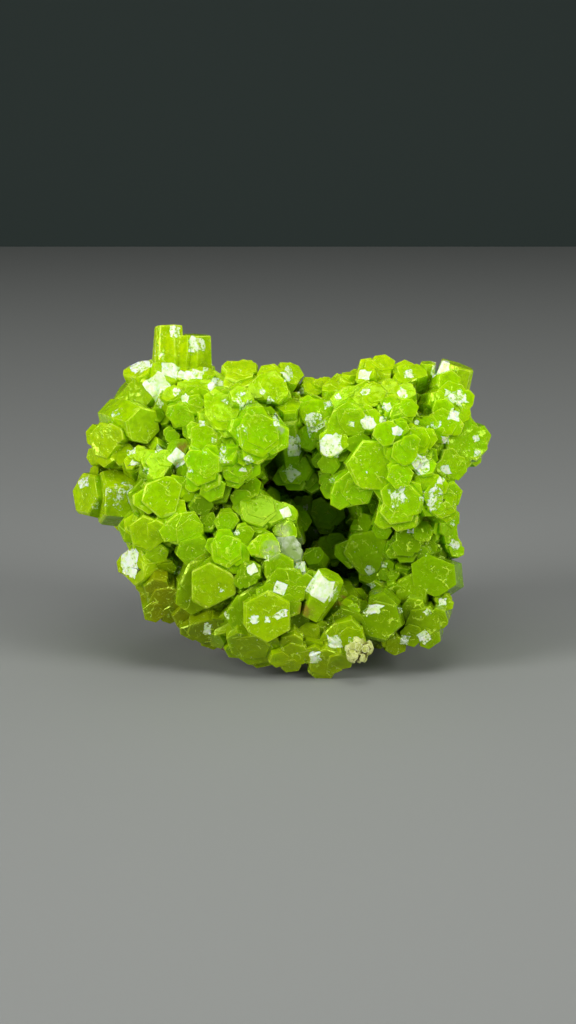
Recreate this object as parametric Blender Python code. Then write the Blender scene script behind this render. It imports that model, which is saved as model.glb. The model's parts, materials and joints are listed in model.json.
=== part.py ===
"""A pyromorphite specimen: barrel-shaped hexagonal crystals grown over a lump of brown ironstone.

Metres, +Z up. The specimen stands on the flat underside that it was cut to, with the origin in the
middle of its footprint. Its best face looks toward -Y.
"""
import math
import random

import bmesh
import bpy
from mathutils import Matrix, Vector

MM = 0.001

# Driving dimensions, in millimetres unless the name says otherwise
FACE_PITCH = math.radians(12.0)     # the best face is described as seen from this far above level
FOOT_LEVEL = 1.4                    # height of the flat underside above the lowest point of the face
GAP = 0.3                           # clearance between two different minerals
WAIST = 0.45                        # where a crystal is widest, as a share of its length from the end
END_WIDTH = 0.87                    # width of a crystal's flat end over its widest width
ROOT_WIDTH = 0.86                   # width of its buried end over its widest width
USUAL_LENGTH = 2.9                  # length over radius, where a row below gives none
SPREAD = 1.14                       # widest width over the width that the neighbours leave in sight
SLENDER = 2.3                       # crystals thinner than this have no wider waist
SEED = 41

# Rows of crystals on the best face, as someone who looks at that face sees them. Each row is the
# middle of the crystal's flat end (right, up, toward the viewer), its radius, how far the crystal
# leans right and up (the rest of its direction points at the viewer), and, where it matters,
# its length and the turn of its six sides in degrees.
TOWERS = [
    (-11.9, 38.0, 0.5, 1.6, 0.00, 1.00, 8.0, 20),
    (-8.9, 37.1, 0.3, 1.6, 0.06, 0.99, 8.0, 50),
]
UPPER_LEFT = [
    (-15.3, 33.3, 1.8, 1.5, -0.40, 0.70, 4.5),
    (-12.0, 33.1, 2.2, 2.1, 0.50, 0.72, 6.0, 30),
    (-17.1, 30.0, 1.5, 1.3, -0.70, 0.50, 4.0),
    (-8.9, 31.6, 4.0, 1.7, 0.10, 0.50),
    (-7.9, 33.1, 2.0, 1.4, 0.20, 0.90, 4.0),
    (-10.3, 28.0, 6.3, 1.5, -0.20, -0.30),
    (-9.0, 29.3, 6.6, 1.4, -0.10, 0.20),
    (-11.3, 30.5, 4.8, 1.1, 0.10, 0.50),
    (-12.9, 26.6, 5.4, 2.1, 0.80, -0.20, 7.5, 12),
    (-18.7, 25.7, 4.4, 2.2, -0.55, 0.05),
    (-19.8, 24.0, 2.8, 1.2, -0.60, -0.10),
]
LEFT_SIDE = [
    (-20.8, 20.0, 1.8, 2.5, -0.75, 0.05, 6.0, 30),
    (-19.2, 19.6, 2.2, 3.1, -0.95, -0.03, 8.0, 0),
    (-12.5, 23.2, 6.8, 1.7, 0.00, 0.45),
    (-12.1, 19.6, 7.6, 2.6, 0.15, -0.05),
    (-16.6, 24.2, 4.8, 1.5, -0.15, 0.05),
    (-14.6, 24.1, 6.0, 1.0, 0.00, 0.30),
    (-15.6, 23.3, 6.0, 0.9, -0.20, 0.30),
    (-14.0, 15.9, 6.5, 2.2, -0.20, -0.30),
    (-10.2, 16.2, 7.0, 2.1, 0.30, -0.20),
    (-12.9, 13.6, 6.0, 1.5, 0.00, -0.50),
    (-15.7, 12.5, 4.2, 2.0, -0.70, 0.00),
    (-14.0, 10.1, 4.2, 1.6, -0.40, -0.50),
    (-12.0, 8.7, 5.2, 2.3, 0.10, -0.50),
    (-10.1, 12.3, 3.6, 1.5, 0.10, 0.10),
    (-7.9, 5.4, 4.6, 2.2, 0.00, -0.65),
    (-7.1, 10.3, 7.2, 2.7, -0.05, -0.10, 7.0, 0),
]
LEFT_MASS = [
    (-8.0, 25.8, 7.8, 1.8, -0.20, 0.00),
    (-8.0, 22.5, 8.4, 2.1, -0.20, -0.10),
    (-7.0, 20.4, 7.6, 1.7, 0.00, -0.40),
    (-4.5, 22.7, 8.0, 2.0, 0.10, -0.30),
    (-5.6, 24.3, 8.5, 1.5, -0.30, 0.30),
    (-3.4, 23.8, 8.0, 1.0, 0.20, 0.10),
    (-2.2, 26.1, 9.6, 2.6, 0.20, -0.05, 8.0),
    (-5.8, 28.5, 8.0, 2.4, -0.05, 0.30),
    (-4.0, 30.2, 7.8, 1.3, 0.20, 0.40),
    (-4.2, 33.0, 3.2, 2.0, 0.00, 0.75),
    (-1.1, 32.8, 3.8, 1.5, 0.00, 0.60),
    (1.2, 32.8, 2.6, 1.5, 0.50, 0.60),
    (3.5, 31.4, 2.2, 1.4, 0.20, 0.70),
    (-1.2, 31.0, 6.5, 2.2, 0.00, 0.40),
    (0.9, 29.4, 4.4, 1.6, 0.00, 0.80),
]
RIGHT_MASS = [
    (3.5, 28.5, 4.8, 1.8, -0.20, 0.10),
    (3.0, 25.9, 4.0, 1.6, -0.40, -0.20),
    (5.9, 31.6, 3.2, 1.5, -0.10, 0.80),
    (7.4, 32.8, 2.0, 1.0, 0.00, 0.95, 4.0, 0),
    (10.6, 33.3, 2.6, 2.0, 0.05, 0.60),
    (9.0, 32.6, 4.0, 1.3, -0.30, 0.60),
    (7.2, 29.9, 6.0, 1.7, 0.00, 0.40),
    (6.8, 27.4, 7.0, 2.0, -0.20, -0.30),
    (5.5, 25.3, 6.8, 1.8, -0.25, 0.15, 6.0, 10),
    (5.1, 23.0, 5.6, 1.4, -0.20, -0.50),
    (9.5, 27.7, 8.0, 1.4, 0.05, 0.20),
    (9.4, 30.1, 6.4, 1.6, 0.00, 0.30),
    (11.5, 30.8, 6.0, 1.5, 0.10, 0.40),
    (13.8, 32.9, 3.2, 1.8, 0.10, 0.70),
    (13.1, 30.6, 5.8, 1.3, 0.00, 0.50),
    (11.5, 29.3, 7.5, 0.9, 0.00, 0.20),
    (12.9, 28.2, 7.4, 1.7, 0.10, 0.10),
    (12.6, 26.7, 8.1, 1.0, 0.00, -0.20),
    (11.0, 26.2, 8.4, 1.5, -0.10, 0.00),
    (14.2, 25.5, 7.6, 1.7, 0.10, 0.00),
    (12.9, 24.3, 8.3, 1.7, 0.00, -0.10),
    (9.6, 22.8, 9.0, 3.0, 0.00, -0.05, 8.0, 5),
    (12.5, 21.8, 7.9, 1.7, 0.10, 0.00),
    (15.8, 34.0, 1.5, 1.0, 0.05, 0.95, 4.0),
    (18.9, 33.8, 2.0, 2.0, 0.30, 0.93, 6.0, 30),
    (18.1, 30.3, 5.0, 2.1, 0.25, 0.05),
    (17.0, 27.5, 6.6, 1.9, -0.10, -0.10),
    (19.5, 25.2, 4.6, 2.6, 0.40, -0.10),
    (21.4, 26.2, 1.6, 0.9, 0.60, 0.10, 4.0),
    (20.9, 24.1, 2.2, 1.4, 0.60, -0.10, 4.0),
    (19.1, 28.3, 6.0, 1.2, 0.40, 0.40),
    (17.8, 22.6, 5.2, 1.9, 0.30, -0.20),
    (15.2, 22.9, 7.2, 1.3, 0.00, 0.30),
    (15.4, 20.8, 6.8, 1.9, 0.00, -0.10),
    (16.9, 19.1, 6.2, 2.0, 0.30, -0.10),
    (12.5, 18.6, 7.2, 2.4, -0.10, -0.20),
    (7.2, 20.1, 5.8, 2.1, -0.10, -0.40),
    (5.2, 20.6, 3.6, 1.4, -0.50, -0.10),
]
HOLLOW = [
    (1.5, 22.4, 1.6, 1.9, -0.20, -0.10),
    (1.5, 25.2, 1.5, 1.3, 0.00, 0.00),
    (3.3, 21.4, 0.8, 1.5, 0.00, 0.00),
    (2.7, 18.5, -4.6, 1.4, 0.00, 0.10),
    (4.8, 17.7, -4.4, 1.8, 0.00, 0.00),
    (5.2, 14.2, -3.2, 1.7, -0.20, 0.10),
    (9.4, 13.7, 0.8, 3.0, -0.10, -0.10, 8.0),
    (13.4, 14.6, 3.4, 1.7, 0.00, 0.10),
    (15.1, 16.1, 3.6, 1.4, 0.20, 0.20),
]
LOWER_RIGHT = [
    (18.1, 16.6, 2.2, 1.8, 0.60, -0.10),
    (18.8, 14.1, 1.6, 1.1, 0.50, 0.00),
    (16.2, 11.3, 4.2, 2.6, -0.25, 0.15, 7.0),
    (17.5, 8.5, 3.4, 1.0, 0.30, 0.00, 4.0),
    (15.0, 6.4, 4.6, 2.3, -0.10, -0.20),
    (10.5, 6.7, 6.6, 2.6, -0.10, -0.10, 7.0),
    (7.2, 7.8, 5.6, 1.2, 0.00, 0.30),
    (6.4, 4.9, 6.6, 2.1, 0.00, -0.40),
    (5.3, 11.6, 7.8, 1.7, 0.45, 0.85, 5.0, 10),
    (12.2, 3.9, 3.8, 1.4, 0.10, -0.50),
]
BOTTOM = [
    (0.6, 10.4, 8.5, 2.7, 0.05, -0.05),
    (-3.3, 11.4, 7.6, 1.5, -0.20, 0.10),
    (-1.3, 7.4, 9.2, 3.0, 0.00, -0.15, 8.0),
    (-3.0, 3.6, 6.6, 2.6, -0.10, -0.65),
    (-4.9, 4.0, 5.0, 1.4, -0.60, -0.50),
    (1.4, 3.2, 6.6, 2.0, 0.10, -0.60),
    (3.0, 5.3, 6.6, 1.5, 0.20, -0.20),
    (4.8, 2.3, 5.8, 2.2, 0.00, -0.60),
    (-2.4, 18.5, 5.8, 2.3, 0.10, 0.45),
    (0.6, 17.9, 5.0, 1.1, 0.30, 0.20),
    (0.5, 16.2, 5.6, 1.2, 0.30, 0.10),
    (-5.1, 19.3, 4.6, 1.4, -0.10, 0.40),
    (-5.6, 16.9, 6.6, 1.6, -0.20, 0.20),
    (-5.6, 14.1, 7.6, 2.0, -0.10, 0.00),
    (-8.3, 14.3, 4.6, 1.4, -0.10, 0.00),
    (-1.7, 14.5, 8.0, 1.5, 0.00, 0.10),
    (-3.7, 15.6, 7.6, 1.3, -0.10, 0.10),
]
CREAM_GROUP = [
    (8.1, 4.4, 8.3, 1.1, 0.10, 0.30, 2.6),
    (9.2, 3.9, 8.0, 0.7, 0.50, 0.10, 1.8),
    (7.6, 3.0, 8.3, 0.7, -0.20, -0.30, 2.0),
    (8.6, 2.8, 8.0, 0.6, 0.30, -0.40, 1.8),
    (7.2, 4.0, 7.9, 0.6, -0.50, 0.20, 1.8),
]
PALE_CRYSTAL = (0.9, 14.1, 7.6, 1.25, 0.10, 0.20, 3.4, 15)

# The mass that the green crystals root in: middle (right, up, toward) and half sizes of each lump
ROOTS = [
    (-10.5, 24.0, -4.0, 7.0, 9.0, 8.5),
    (-13.0, 19.5, -4.0, 5.0, 7.5, 7.5),
    (-1.5, 28.0, -4.0, 8.0, 4.0, 8.5),
    (5.0, 27.5, -5.0, 6.0, 3.6, 7.5),
    (13.2, 25.5, -4.0, 5.8, 6.4, 9.0),
    (13.0, 18.0, -5.5, 4.4, 6.0, 8.0),
    (13.2, 10.0, -5.5, 4.0, 6.0, 8.0),
    (-11.0, 13.0, -4.0, 4.6, 6.0, 7.5),
    (-3.0, 9.5, -1.0, 6.0, 5.6, 7.0),
    (6.0, 6.5, -5.0, 7.0, 4.0, 6.5),
    (-4.5, 16.5, -3.0, 5.0, 4.5, 7.0),
    (6.0, 16.0, -9.5, 6.5, 6.5, 3.0),
]

# The brown rock behind them, in the same terms, and the broken faces that bound it: a direction
# (right, up, toward) and how far from the rock's middle that face lies
ROCK_LUMPS = [
    (-2.5, 17.0, -13.5, 11.5, 12.0, 6.0),
    (6.0, 11.0, -13.5, 9.0, 9.5, 6.0),
    (1.5, 4.5, -9.5, 9.4, 6.0, 7.8),
    (-3.0, 21.5, -2.5, 1.7, 1.2, 7.0),
]
ROCK_MIDDLE = (0.5, 14.0, -10.0)
ROCK_BREAKS = [
    ((0.15, 0.10, -1.00), 8.2),
    ((-0.60, 0.20, -0.80), 10.2),
    ((0.75, -0.15, -0.70), 10.4),
    ((-0.20, 0.85, -0.60), 11.6),
    ((0.45, 0.70, -0.55), 10.8),
    ((-0.50, -0.60, -0.70), 11.2),
    ((0.90, -0.50, -0.10), 11.6),
]

# Where crystals of the sides, top and back must stay inside, so that the best face keeps its shape:
# the specimen's edge as seen from the best face, clockwise from the left
EDGE = [
    (-22.0, 22.5), (-20.5, 28.0), (-17.5, 31.0), (-16.0, 34.5), (-13.5, 38.0), (-7.5, 37.2),
    (-7.5, 33.5), (-2.5, 34.2), (3.0, 32.6), (9.5, 34.8), (12.5, 33.8), (16.0, 34.4), (20.8, 33.2),
    (20.5, 28.0), (22.0, 25.0), (19.5, 21.5), (19.2, 18.0), (19.5, 13.0), (17.8, 8.0), (16.0, 3.4),
    (9.0, 2.4), (5.0, 0.2), (-3.0, 1.4), (-8.0, 3.2), (-14.0, 6.5), (-17.5, 11.0), (-17.0, 15.5),
    (-21.0, 17.5),
]
HIDDEN_TRIES = 9000
HIDDEN_SMALLEST = 2.0
HIDDEN_LARGEST = 3.4
HIDDEN_PROUD = 0.8                  # how far a hidden crystal stands out of the root mass, in radii
HIDDEN_SWAY = 0.25                  # how far it leans away from straight out
HIDDEN_SPACING = 0.98               # least distance between two ends over the sum of their radii
HIDDEN_REACH = 0.6                  # share of its radius that must lie within the edge
OVERLAP = 0.8                       # a place this deep in another root lump grows no crystal
ROCK_MARGIN = 0.5                   # nor does a place this far inside the rock's skin

ROOT_ROUGHNESS = 0.05               # unevenness of the lumps, as a share of their size
ROCK_ROUGHNESS = 0.07
CREAM_ROOT = (8.2, 3.7, 6.6, 1.0, 1.0, 1.1)
CUTTER_SIZE = 80.0                  # larger than the specimen


def clear_scene():
    """Start from an empty scene."""
    for thing in list(bpy.data.objects):
        bpy.data.objects.remove(thing, do_unlink=True)


def new_collection(name):
    """A collection of its own, linked to the scene."""
    group = bpy.data.collections.new(name)
    bpy.context.scene.collection.children.link(group)
    return group


def from_face(right, up, toward):
    """Turn a place or direction as seen on the best face into the model's own axes."""
    level = math.cos(FACE_PITCH)
    tilt = math.sin(FACE_PITCH)
    return Vector((right, up * tilt - toward * level, up * level + toward * tilt))


def material(name, colour, roughness):
    """A plain finish for one mineral."""
    finish = bpy.data.materials.new(name)
    finish.use_nodes = True
    shader = finish.node_tree.nodes["Principled BSDF"]
    shader.inputs["Base Color"].default_value = (*colour, 1.0)
    shader.inputs["Roughness"].default_value = roughness
    shader.inputs["Metallic"].default_value = 0.0
    return finish


def add_crystal(mesh, end, direction, radius, length, turn, grow=0.0, plain=False):
    """Add one hexagonal barrel: a six-sided cone with its flat end at `end`, widened at its waist
    unless it is slender or plain."""
    direction = direction.normalized()
    radius += grow
    length += 2.0 * grow
    upright = Matrix.Translation(end + direction * (grow - length / 2.0))
    upright = upright @ direction.to_track_quat("Z", "Y").to_matrix().to_4x4()
    upright = upright @ Matrix.Rotation(math.radians(turn), 4, "Z")
    waisted = radius > SLENDER and not plain
    made = bmesh.ops.create_cone(
        mesh, cap_ends=True, segments=6, depth=length,
        radius1=radius * (ROOT_WIDTH if waisted else 1.0), radius2=radius * END_WIDTH)
    corners = made["verts"]
    if waisted:
        corners = corners + widen_waist(mesh, corners, radius, length)
    bmesh.ops.transform(mesh, matrix=upright, verts=corners)


def widen_waist(mesh, corners, radius, length):
    """Cut a ring round a crystal below its flat end, widen it, and return the ring's corners."""
    faces = list({face for corner in corners for face in corner.link_faces})
    edges = list({edge for corner in corners for edge in corner.link_edges})
    waist = Vector((0.0, 0.0, length * (0.5 - WAIST)))
    cut = bmesh.ops.bisect_plane(
        mesh, geom=corners + edges + faces, plane_co=waist, plane_no=(0.0, 0.0, 1.0), dist=1e-6)
    belt = [item for item in cut["geom_cut"] if isinstance(item, bmesh.types.BMVert)]
    for corner in belt:
        corner.co.xy = corner.co.xy.normalized() * radius
    return belt


def add_row(mesh, row, chance, grow=0.0):
    """Add the crystal that one row describes."""
    right, up, toward, radius, lean_right, lean_up = row[:6]
    radius *= SPREAD
    length = row[6] if len(row) > 6 else radius * USUAL_LENGTH + 1.0
    turn = row[7] if len(row) > 7 else chance.uniform(0.0, 60.0)
    facing = math.sqrt(max(0.0, 1.0 - lean_right ** 2 - lean_up ** 2))
    add_crystal(mesh, from_face(right, up, toward), from_face(lean_right, lean_up, facing),
                radius, length, turn, grow)


def add_lump(mesh, lump, finer, rough, chance, grow=0.0):
    """Add one uneven round lump."""
    right, up, toward, wide, high, deep = lump
    made = bmesh.ops.create_icosphere(mesh, subdivisions=finer, radius=1.0)
    for corner in made["verts"]:
        swell = 1.0 + chance.uniform(-rough, rough)
        shape = Vector((corner.co.x * wide, corner.co.y * high, corner.co.z * deep)) * swell
        shape += corner.co * grow
        corner.co = from_face(right, up, toward) + from_face(*shape)


def object_from(name, mesh, group, guide=False):
    """Make an object of a bmesh, in metres; a guide only shapes others and is left out."""
    bmesh.ops.scale(mesh, vec=(MM, MM, MM), verts=mesh.verts)
    data = bpy.data.meshes.new(name)
    mesh.to_mesh(data)
    mesh.free()
    thing = bpy.data.objects.new(name, data)
    group.objects.link(thing)
    if guide:
        thing.hide_render = True
        thing.display_type = "WIRE"
    return thing


def boolean(thing, operation, other, overlapping=False):
    """Union with another object, or cut by it."""
    step = thing.modifiers.new(operation.title() + " " + other.name, "BOOLEAN")
    step.operation = operation
    step.object = other
    step.solver = "EXACT"
    step.use_self = overlapping


def settle(thing):
    """Apply the Booleans, then keep the one outer skin: no sealed pocket and no loose splinter."""
    seen = thing.evaluated_get(bpy.context.evaluated_depsgraph_get())
    data = bpy.data.meshes.new_from_object(seen)
    thing.modifiers.clear()
    mesh = bmesh.new()
    mesh.from_mesh(data)
    bpy.data.meshes.remove(data)
    bmesh.ops.remove_doubles(mesh, verts=mesh.verts, dist=1e-7)
    bmesh.ops.triangulate(mesh, faces=mesh.faces)
    skins = separate_skins(mesh)
    kept = max(skins, key=enclosed_volume)
    loose = [face for skin in skins if skin is not kept for face in skin]
    bmesh.ops.delete(mesh, geom=loose, context="FACES")
    mesh.to_mesh(thing.data)
    mesh.free()
    print(thing.name, "kept", len(kept), "triangles; dropped", len(loose), "of", len(skins) - 1, "skins")


def separate_skins(mesh):
    """The closed skins of a mesh, each a list of faces."""
    waiting = set(mesh.faces)
    skins = []
    while waiting:
        skin = [waiting.pop()]
        reach = list(skin)
        while reach:
            face = reach.pop()
            for edge in face.edges:
                for beside in edge.link_faces:
                    if beside in waiting:
                        waiting.discard(beside)
                        skin.append(beside)
                        reach.append(beside)
        skins.append(skin)
    return skins


def enclosed_volume(skin):
    """Volume inside a closed skin of triangles; negative when it bounds a pocket."""
    total = 0.0
    for face in skin:
        a, b, c = [corner.co for corner in face.verts]
        total += a.dot(b.cross(c)) / 6.0
    return total


def inside_edge(right, up):
    """Whether a place on the best face lies within the specimen's edge."""
    inside = False
    last_right, last_up = EDGE[-1]
    for edge_right, edge_up in EDGE:
        if (edge_up > up) != (last_up > up):
            crossing = (last_right - edge_right) * (up - edge_up) / (last_up - edge_up) + edge_right
            if right < crossing:
                inside = not inside
        last_right, last_up = edge_right, edge_up
    return inside


def within_lump(place, lump, margin=0.0):
    """Whether a place (right, up, toward) is inside a lump, shrunk by the margin."""
    right, up, toward, wide, high, deep = lump
    offset = place - Vector((right, up, toward))
    reach = (offset.x / (wide - margin)) ** 2 + (offset.y / (high - margin)) ** 2
    return reach + (offset.z / (deep - margin)) ** 2 < 1.0


def hidden_rows(chance):
    """Crystals of the sides, top and back: scattered over the root mass, each clear of the last ones."""
    face_rows = TOWERS + UPPER_LEFT + LEFT_SIDE + LEFT_MASS + RIGHT_MASS + HOLLOW + LOWER_RIGHT + BOTTOM
    taken = [(Vector(row[:3]), row[3]) for row in face_rows]
    found = []
    for _ in range(HIDDEN_TRIES):
        lump = chance.choice(ROOTS)
        aim = Vector((chance.gauss(0, 1), chance.gauss(0, 1), chance.gauss(0, 1))).normalized()
        radius = chance.uniform(HIDDEN_SMALLEST, HIDDEN_LARGEST)
        sway = Vector([chance.gauss(0, HIDDEN_SWAY) for _ in range(3)])
        middle = Vector(lump[:3])
        half = Vector(lump[3:])
        surface = middle + Vector((aim.x * half.x, aim.y * half.y, aim.z * half.z))
        outward = Vector((aim.x / half.x, aim.y / half.y, aim.z / half.z)).normalized()
        lean = (outward + sway).normalized()
        end = surface + lean * radius * HIDDEN_PROUD
        others = [other for other in ROOTS if other is not lump]
        if any(within_lump(surface, other, OVERLAP) for other in others):
            continue
        if any(within_lump(end, rock, ROCK_MARGIN) for rock in ROCK_LUMPS):
            continue
        if end.z > 0.0 or from_face(*end).z < FOOT_LEVEL + radius:
            continue
        reach = radius * HIDDEN_REACH
        rim = [end + Vector((side, rise, 0.0)) for side in (-reach, reach) for rise in (-reach, reach)]
        if not all(inside_edge(spot.x, spot.y) for spot in rim):
            continue
        if any((end - place).length < HIDDEN_SPACING * (radius + other) for place, other in taken):
            continue
        taken.append((end, radius))
        found.append((end, lean, radius, chance.uniform(0.0, 60.0)))
    print("crystals out of sight of the best face:", len(found))
    return found


def green_crystals(parts, guides):
    """The green crystals and the mass that they root in, fused into one solid."""
    chance = random.Random(SEED)
    mesh = bmesh.new()
    for group in (TOWERS, UPPER_LEFT, LEFT_SIDE, LEFT_MASS, RIGHT_MASS, HOLLOW, LOWER_RIGHT, BOTTOM):
        for row in group:
            add_row(mesh, row, chance)
    for end, lean, radius, turn in hidden_rows(chance):
        length = radius * USUAL_LENGTH
        add_crystal(mesh, from_face(*end), from_face(*lean), radius, length, turn, plain=True)
    crystals = object_from("pyromorphite_crystals", mesh, parts)
    mesh = bmesh.new()
    for lump in ROOTS:
        add_lump(mesh, lump, 2, ROOT_ROUGHNESS, chance)
    roots = object_from("crystal_roots", mesh, guides, guide=True)
    boolean(crystals, "UNION", roots, overlapping=True)
    settle(crystals)
    return crystals


def rock(name, group, grow=0.0, guide=False):
    """The brown rock; grown a little, it is also the space that the crystals leave for it."""
    chance = random.Random(SEED + 1)
    lumps = []
    for number, lump in enumerate(ROCK_LUMPS):
        mesh = bmesh.new()
        add_lump(mesh, lump, 2, ROCK_ROUGHNESS, chance, grow)
        lumps.append(object_from(f"{name}_{number}", mesh, group, guide))
    first = lumps[0]
    for other in lumps[1:]:
        boolean(first, "UNION", other)
    settle(first)
    for other in lumps[1:]:
        bpy.data.objects.remove(other, do_unlink=True)
    first.name = name
    break_rock(first, grow)
    return first


def break_rock(first, grow):
    """Cut the rock to the flat faces that it broke along."""
    mesh = bmesh.new()
    mesh.from_mesh(first.data)
    for direction, reach in ROCK_BREAKS:
        outward = from_face(*direction).normalized()
        spot = (from_face(*ROCK_MIDDLE) + outward * (reach + grow)) * MM
        cut = bmesh.ops.bisect_plane(
            mesh, geom=mesh.verts[:] + mesh.edges[:] + mesh.faces[:],
            plane_co=spot, plane_no=outward, clear_outer=True, dist=1e-7)
        rim = [item for item in cut["geom_cut"] if isinstance(item, bmesh.types.BMEdge)]
        bmesh.ops.contextual_create(mesh, geom=rim)
    bmesh.ops.triangulate(mesh, faces=mesh.faces)
    mesh.to_mesh(first.data)
    mesh.free()


def cream_group(name, group, grow=0.0, guide=False):
    """The little cream cluster."""
    chance = random.Random(SEED + 2)
    mesh = bmesh.new()
    for row in CREAM_GROUP:
        add_row(mesh, row, chance, grow)
    cluster = object_from(name, mesh, group, guide)
    mesh = bmesh.new()
    add_lump(mesh, CREAM_ROOT, 1, 0.0, chance, grow)
    root = object_from(name + "_root", mesh, group, True)
    boolean(cluster, "UNION", root, overlapping=True)
    settle(cluster)
    bpy.data.objects.remove(root, do_unlink=True)
    return cluster


def pale_crystal(name, group, grow=0.0, guide=False):
    """The single cloudy whitish crystal."""
    mesh = bmesh.new()
    add_row(mesh, PALE_CRYSTAL, random.Random(SEED + 3), grow)
    return object_from(name, mesh, group, guide)


def underside_cutter(group):
    """A slab that takes off all below the flat underside."""
    mesh = bmesh.new()
    middle = Matrix.Translation((0.0, 0.0, FOOT_LEVEL - CUTTER_SIZE / 2.0))
    bmesh.ops.create_cube(mesh, size=CUTTER_SIZE, matrix=middle)
    return object_from("underside_cutter", mesh, group, guide=True)


def stand_on_origin(nodes):
    """Move the nodes so that the origin is in the middle of the footprint's box, on the underside."""
    points = [corner.co for node in nodes for corner in node.data.vertices]
    low = Vector([min(point[axis] for point in points) for axis in range(3)])
    high = Vector([max(point[axis] for point in points) for axis in range(3)])
    shift = Vector((-(low.x + high.x) / 2.0, -(low.y + high.y) / 2.0, -low.z))
    for node in nodes:
        node.data.transform(Matrix.Translation(shift))
    print("size, mm:", [round(side * 1000, 2) for side in high - low])
    print("shift, mm:", [round(side * 1000, 3) for side in shift])


def build():
    """Make every piece and set the specimen on its foot."""
    clear_scene()
    parts = new_collection("pyromorphite_specimen")
    guides = new_collection("guides")
    underside = underside_cutter(guides)

    crystals = green_crystals(parts, guides)
    rock_space = rock("rock_space", guides, GAP, guide=True)
    cream_space = cream_group("cream_space", guides, GAP, guide=True)
    pale_space = pale_crystal("pale_space", guides, GAP, guide=True)
    for cutter in (rock_space, cream_space, pale_space, underside):
        boolean(crystals, "DIFFERENCE", cutter)
    settle(crystals)

    matrix = rock("ironstone_matrix", parts)
    boolean(matrix, "DIFFERENCE", underside)
    settle(matrix)
    cream = cream_group("cream_crystal_group", parts)
    pale = pale_crystal("pale_crystal", parts)

    crystals.data.materials.append(material("green crystal", (0.36, 0.60, 0.01), 0.25))
    matrix.data.materials.append(material("brown ironstone", (0.16, 0.09, 0.04), 0.85))
    cream.data.materials.append(material("cream crystal", (0.78, 0.72, 0.32), 0.45))
    pale.data.materials.append(material("cloudy crystal", (0.72, 0.76, 0.66), 0.3))
    stand_on_origin([crystals, matrix, cream, pale])


build()
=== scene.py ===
import json
import math
import random

import bpy
from mathutils import Matrix, Vector
from mathutils.bvhtree import BVHTree

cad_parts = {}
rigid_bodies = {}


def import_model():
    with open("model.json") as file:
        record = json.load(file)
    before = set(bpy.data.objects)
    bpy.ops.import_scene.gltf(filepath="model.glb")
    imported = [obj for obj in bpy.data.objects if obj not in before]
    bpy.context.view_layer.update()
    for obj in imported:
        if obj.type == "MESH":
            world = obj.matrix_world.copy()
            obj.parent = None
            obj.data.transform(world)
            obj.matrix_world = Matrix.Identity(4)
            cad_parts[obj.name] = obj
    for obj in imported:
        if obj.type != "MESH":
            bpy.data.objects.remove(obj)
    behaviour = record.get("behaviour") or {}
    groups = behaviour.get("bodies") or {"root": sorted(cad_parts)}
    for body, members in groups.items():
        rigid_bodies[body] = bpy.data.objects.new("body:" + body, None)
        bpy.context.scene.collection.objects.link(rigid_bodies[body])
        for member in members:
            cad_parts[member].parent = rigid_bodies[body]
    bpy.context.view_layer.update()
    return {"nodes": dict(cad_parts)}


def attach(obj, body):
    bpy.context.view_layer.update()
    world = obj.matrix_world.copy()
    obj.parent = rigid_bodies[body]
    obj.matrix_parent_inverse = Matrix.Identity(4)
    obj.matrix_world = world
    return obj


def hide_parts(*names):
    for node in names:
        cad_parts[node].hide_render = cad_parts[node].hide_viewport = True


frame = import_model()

MM = 0.001

# How the best face is described: right, up and toward the viewer, seen from a little above level
FACE_PITCH = math.radians(12.0)
SHIFT = Vector((0.181, -7.271, -1.4))   # from those terms onto the origin of the solids
FOOT_LEVEL = 1.4                        # no scattered crystal's end comes lower than this and its radius

# The photograph's frame, and where the specimen's own measures lie in it
PHOTO_WIDTH = 576
PHOTO_HEIGHT = 1024
PIXELS_PER_MM = 9.3
ZERO_COLUMN = 280                       # the column where right is 0
ZERO_ROW = 680                          # the row where up is 0
CAMERA_DISTANCE = 220.0
VIEW_MIDDLE = ((PHOTO_WIDTH / 2.0 - ZERO_COLUMN) / PIXELS_PER_MM,
               (ZERO_ROW - PHOTO_HEIGHT / 2.0) / PIXELS_PER_MM)
SENSOR = 36.0
FACE_TURN = math.radians(90.0) - FACE_PITCH
FACING = Matrix.Rotation(FACE_TURN, 4, "X")     # turns what lies flat to face the viewer

# How a crystal is drawn from its row
WAIST = 0.45                            # where a crystal is widest, as a share of its length from the end
END_WIDTH = 0.87                        # width of a crystal's flat end over its widest width
USUAL_LENGTH = 2.9                      # length over radius, where a row gives none
SPREAD = 1.19                           # widest width over the width that the neighbours leave in sight
SEED = 41
LOOKS_SEED = 7

# Rows of crystals on the best face: the middle of the flat end (right, up, toward the viewer), the
# radius, the lean to the right and up and, where it matters, the length and the turn in degrees
TOWERS = [
    (-11.9, 38.0, 0.5, 1.6, 0.0, 1.0, 8.0, 20), (-9.0, 37.1, 0.3, 1.6, 0.05, 0.99, 8.0, 50),
]
UPPER_LEFT = [
    (-15.3, 33.3, 1.8, 1.5, -0.4, 0.7, 4.5), (-12.0, 33.1, 2.2, 2.1, 0.5, 0.72, 6.0, 30),
    (-17.1, 30.0, 1.5, 1.3, -0.7, 0.5, 4.0), (-8.9, 31.6, 4.0, 1.7, 0.1, 0.5),
    (-7.9, 33.1, 2.0, 1.4, 0.2, 0.9, 4.0), (-10.3, 28.0, 6.3, 1.5, -0.2, -0.3),
    (-9.0, 29.3, 6.6, 1.4, -0.1, 0.2), (-11.3, 30.5, 4.8, 1.1, 0.1, 0.5),
    (-14.3, 27.2, 5.7, 2.1, 0.52, -0.18, 7.0, 12), (-18.7, 25.7, 4.4, 2.2, -0.55, 0.05),
    (-19.8, 24.0, 2.8, 1.2, -0.6, -0.1),
]
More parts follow.
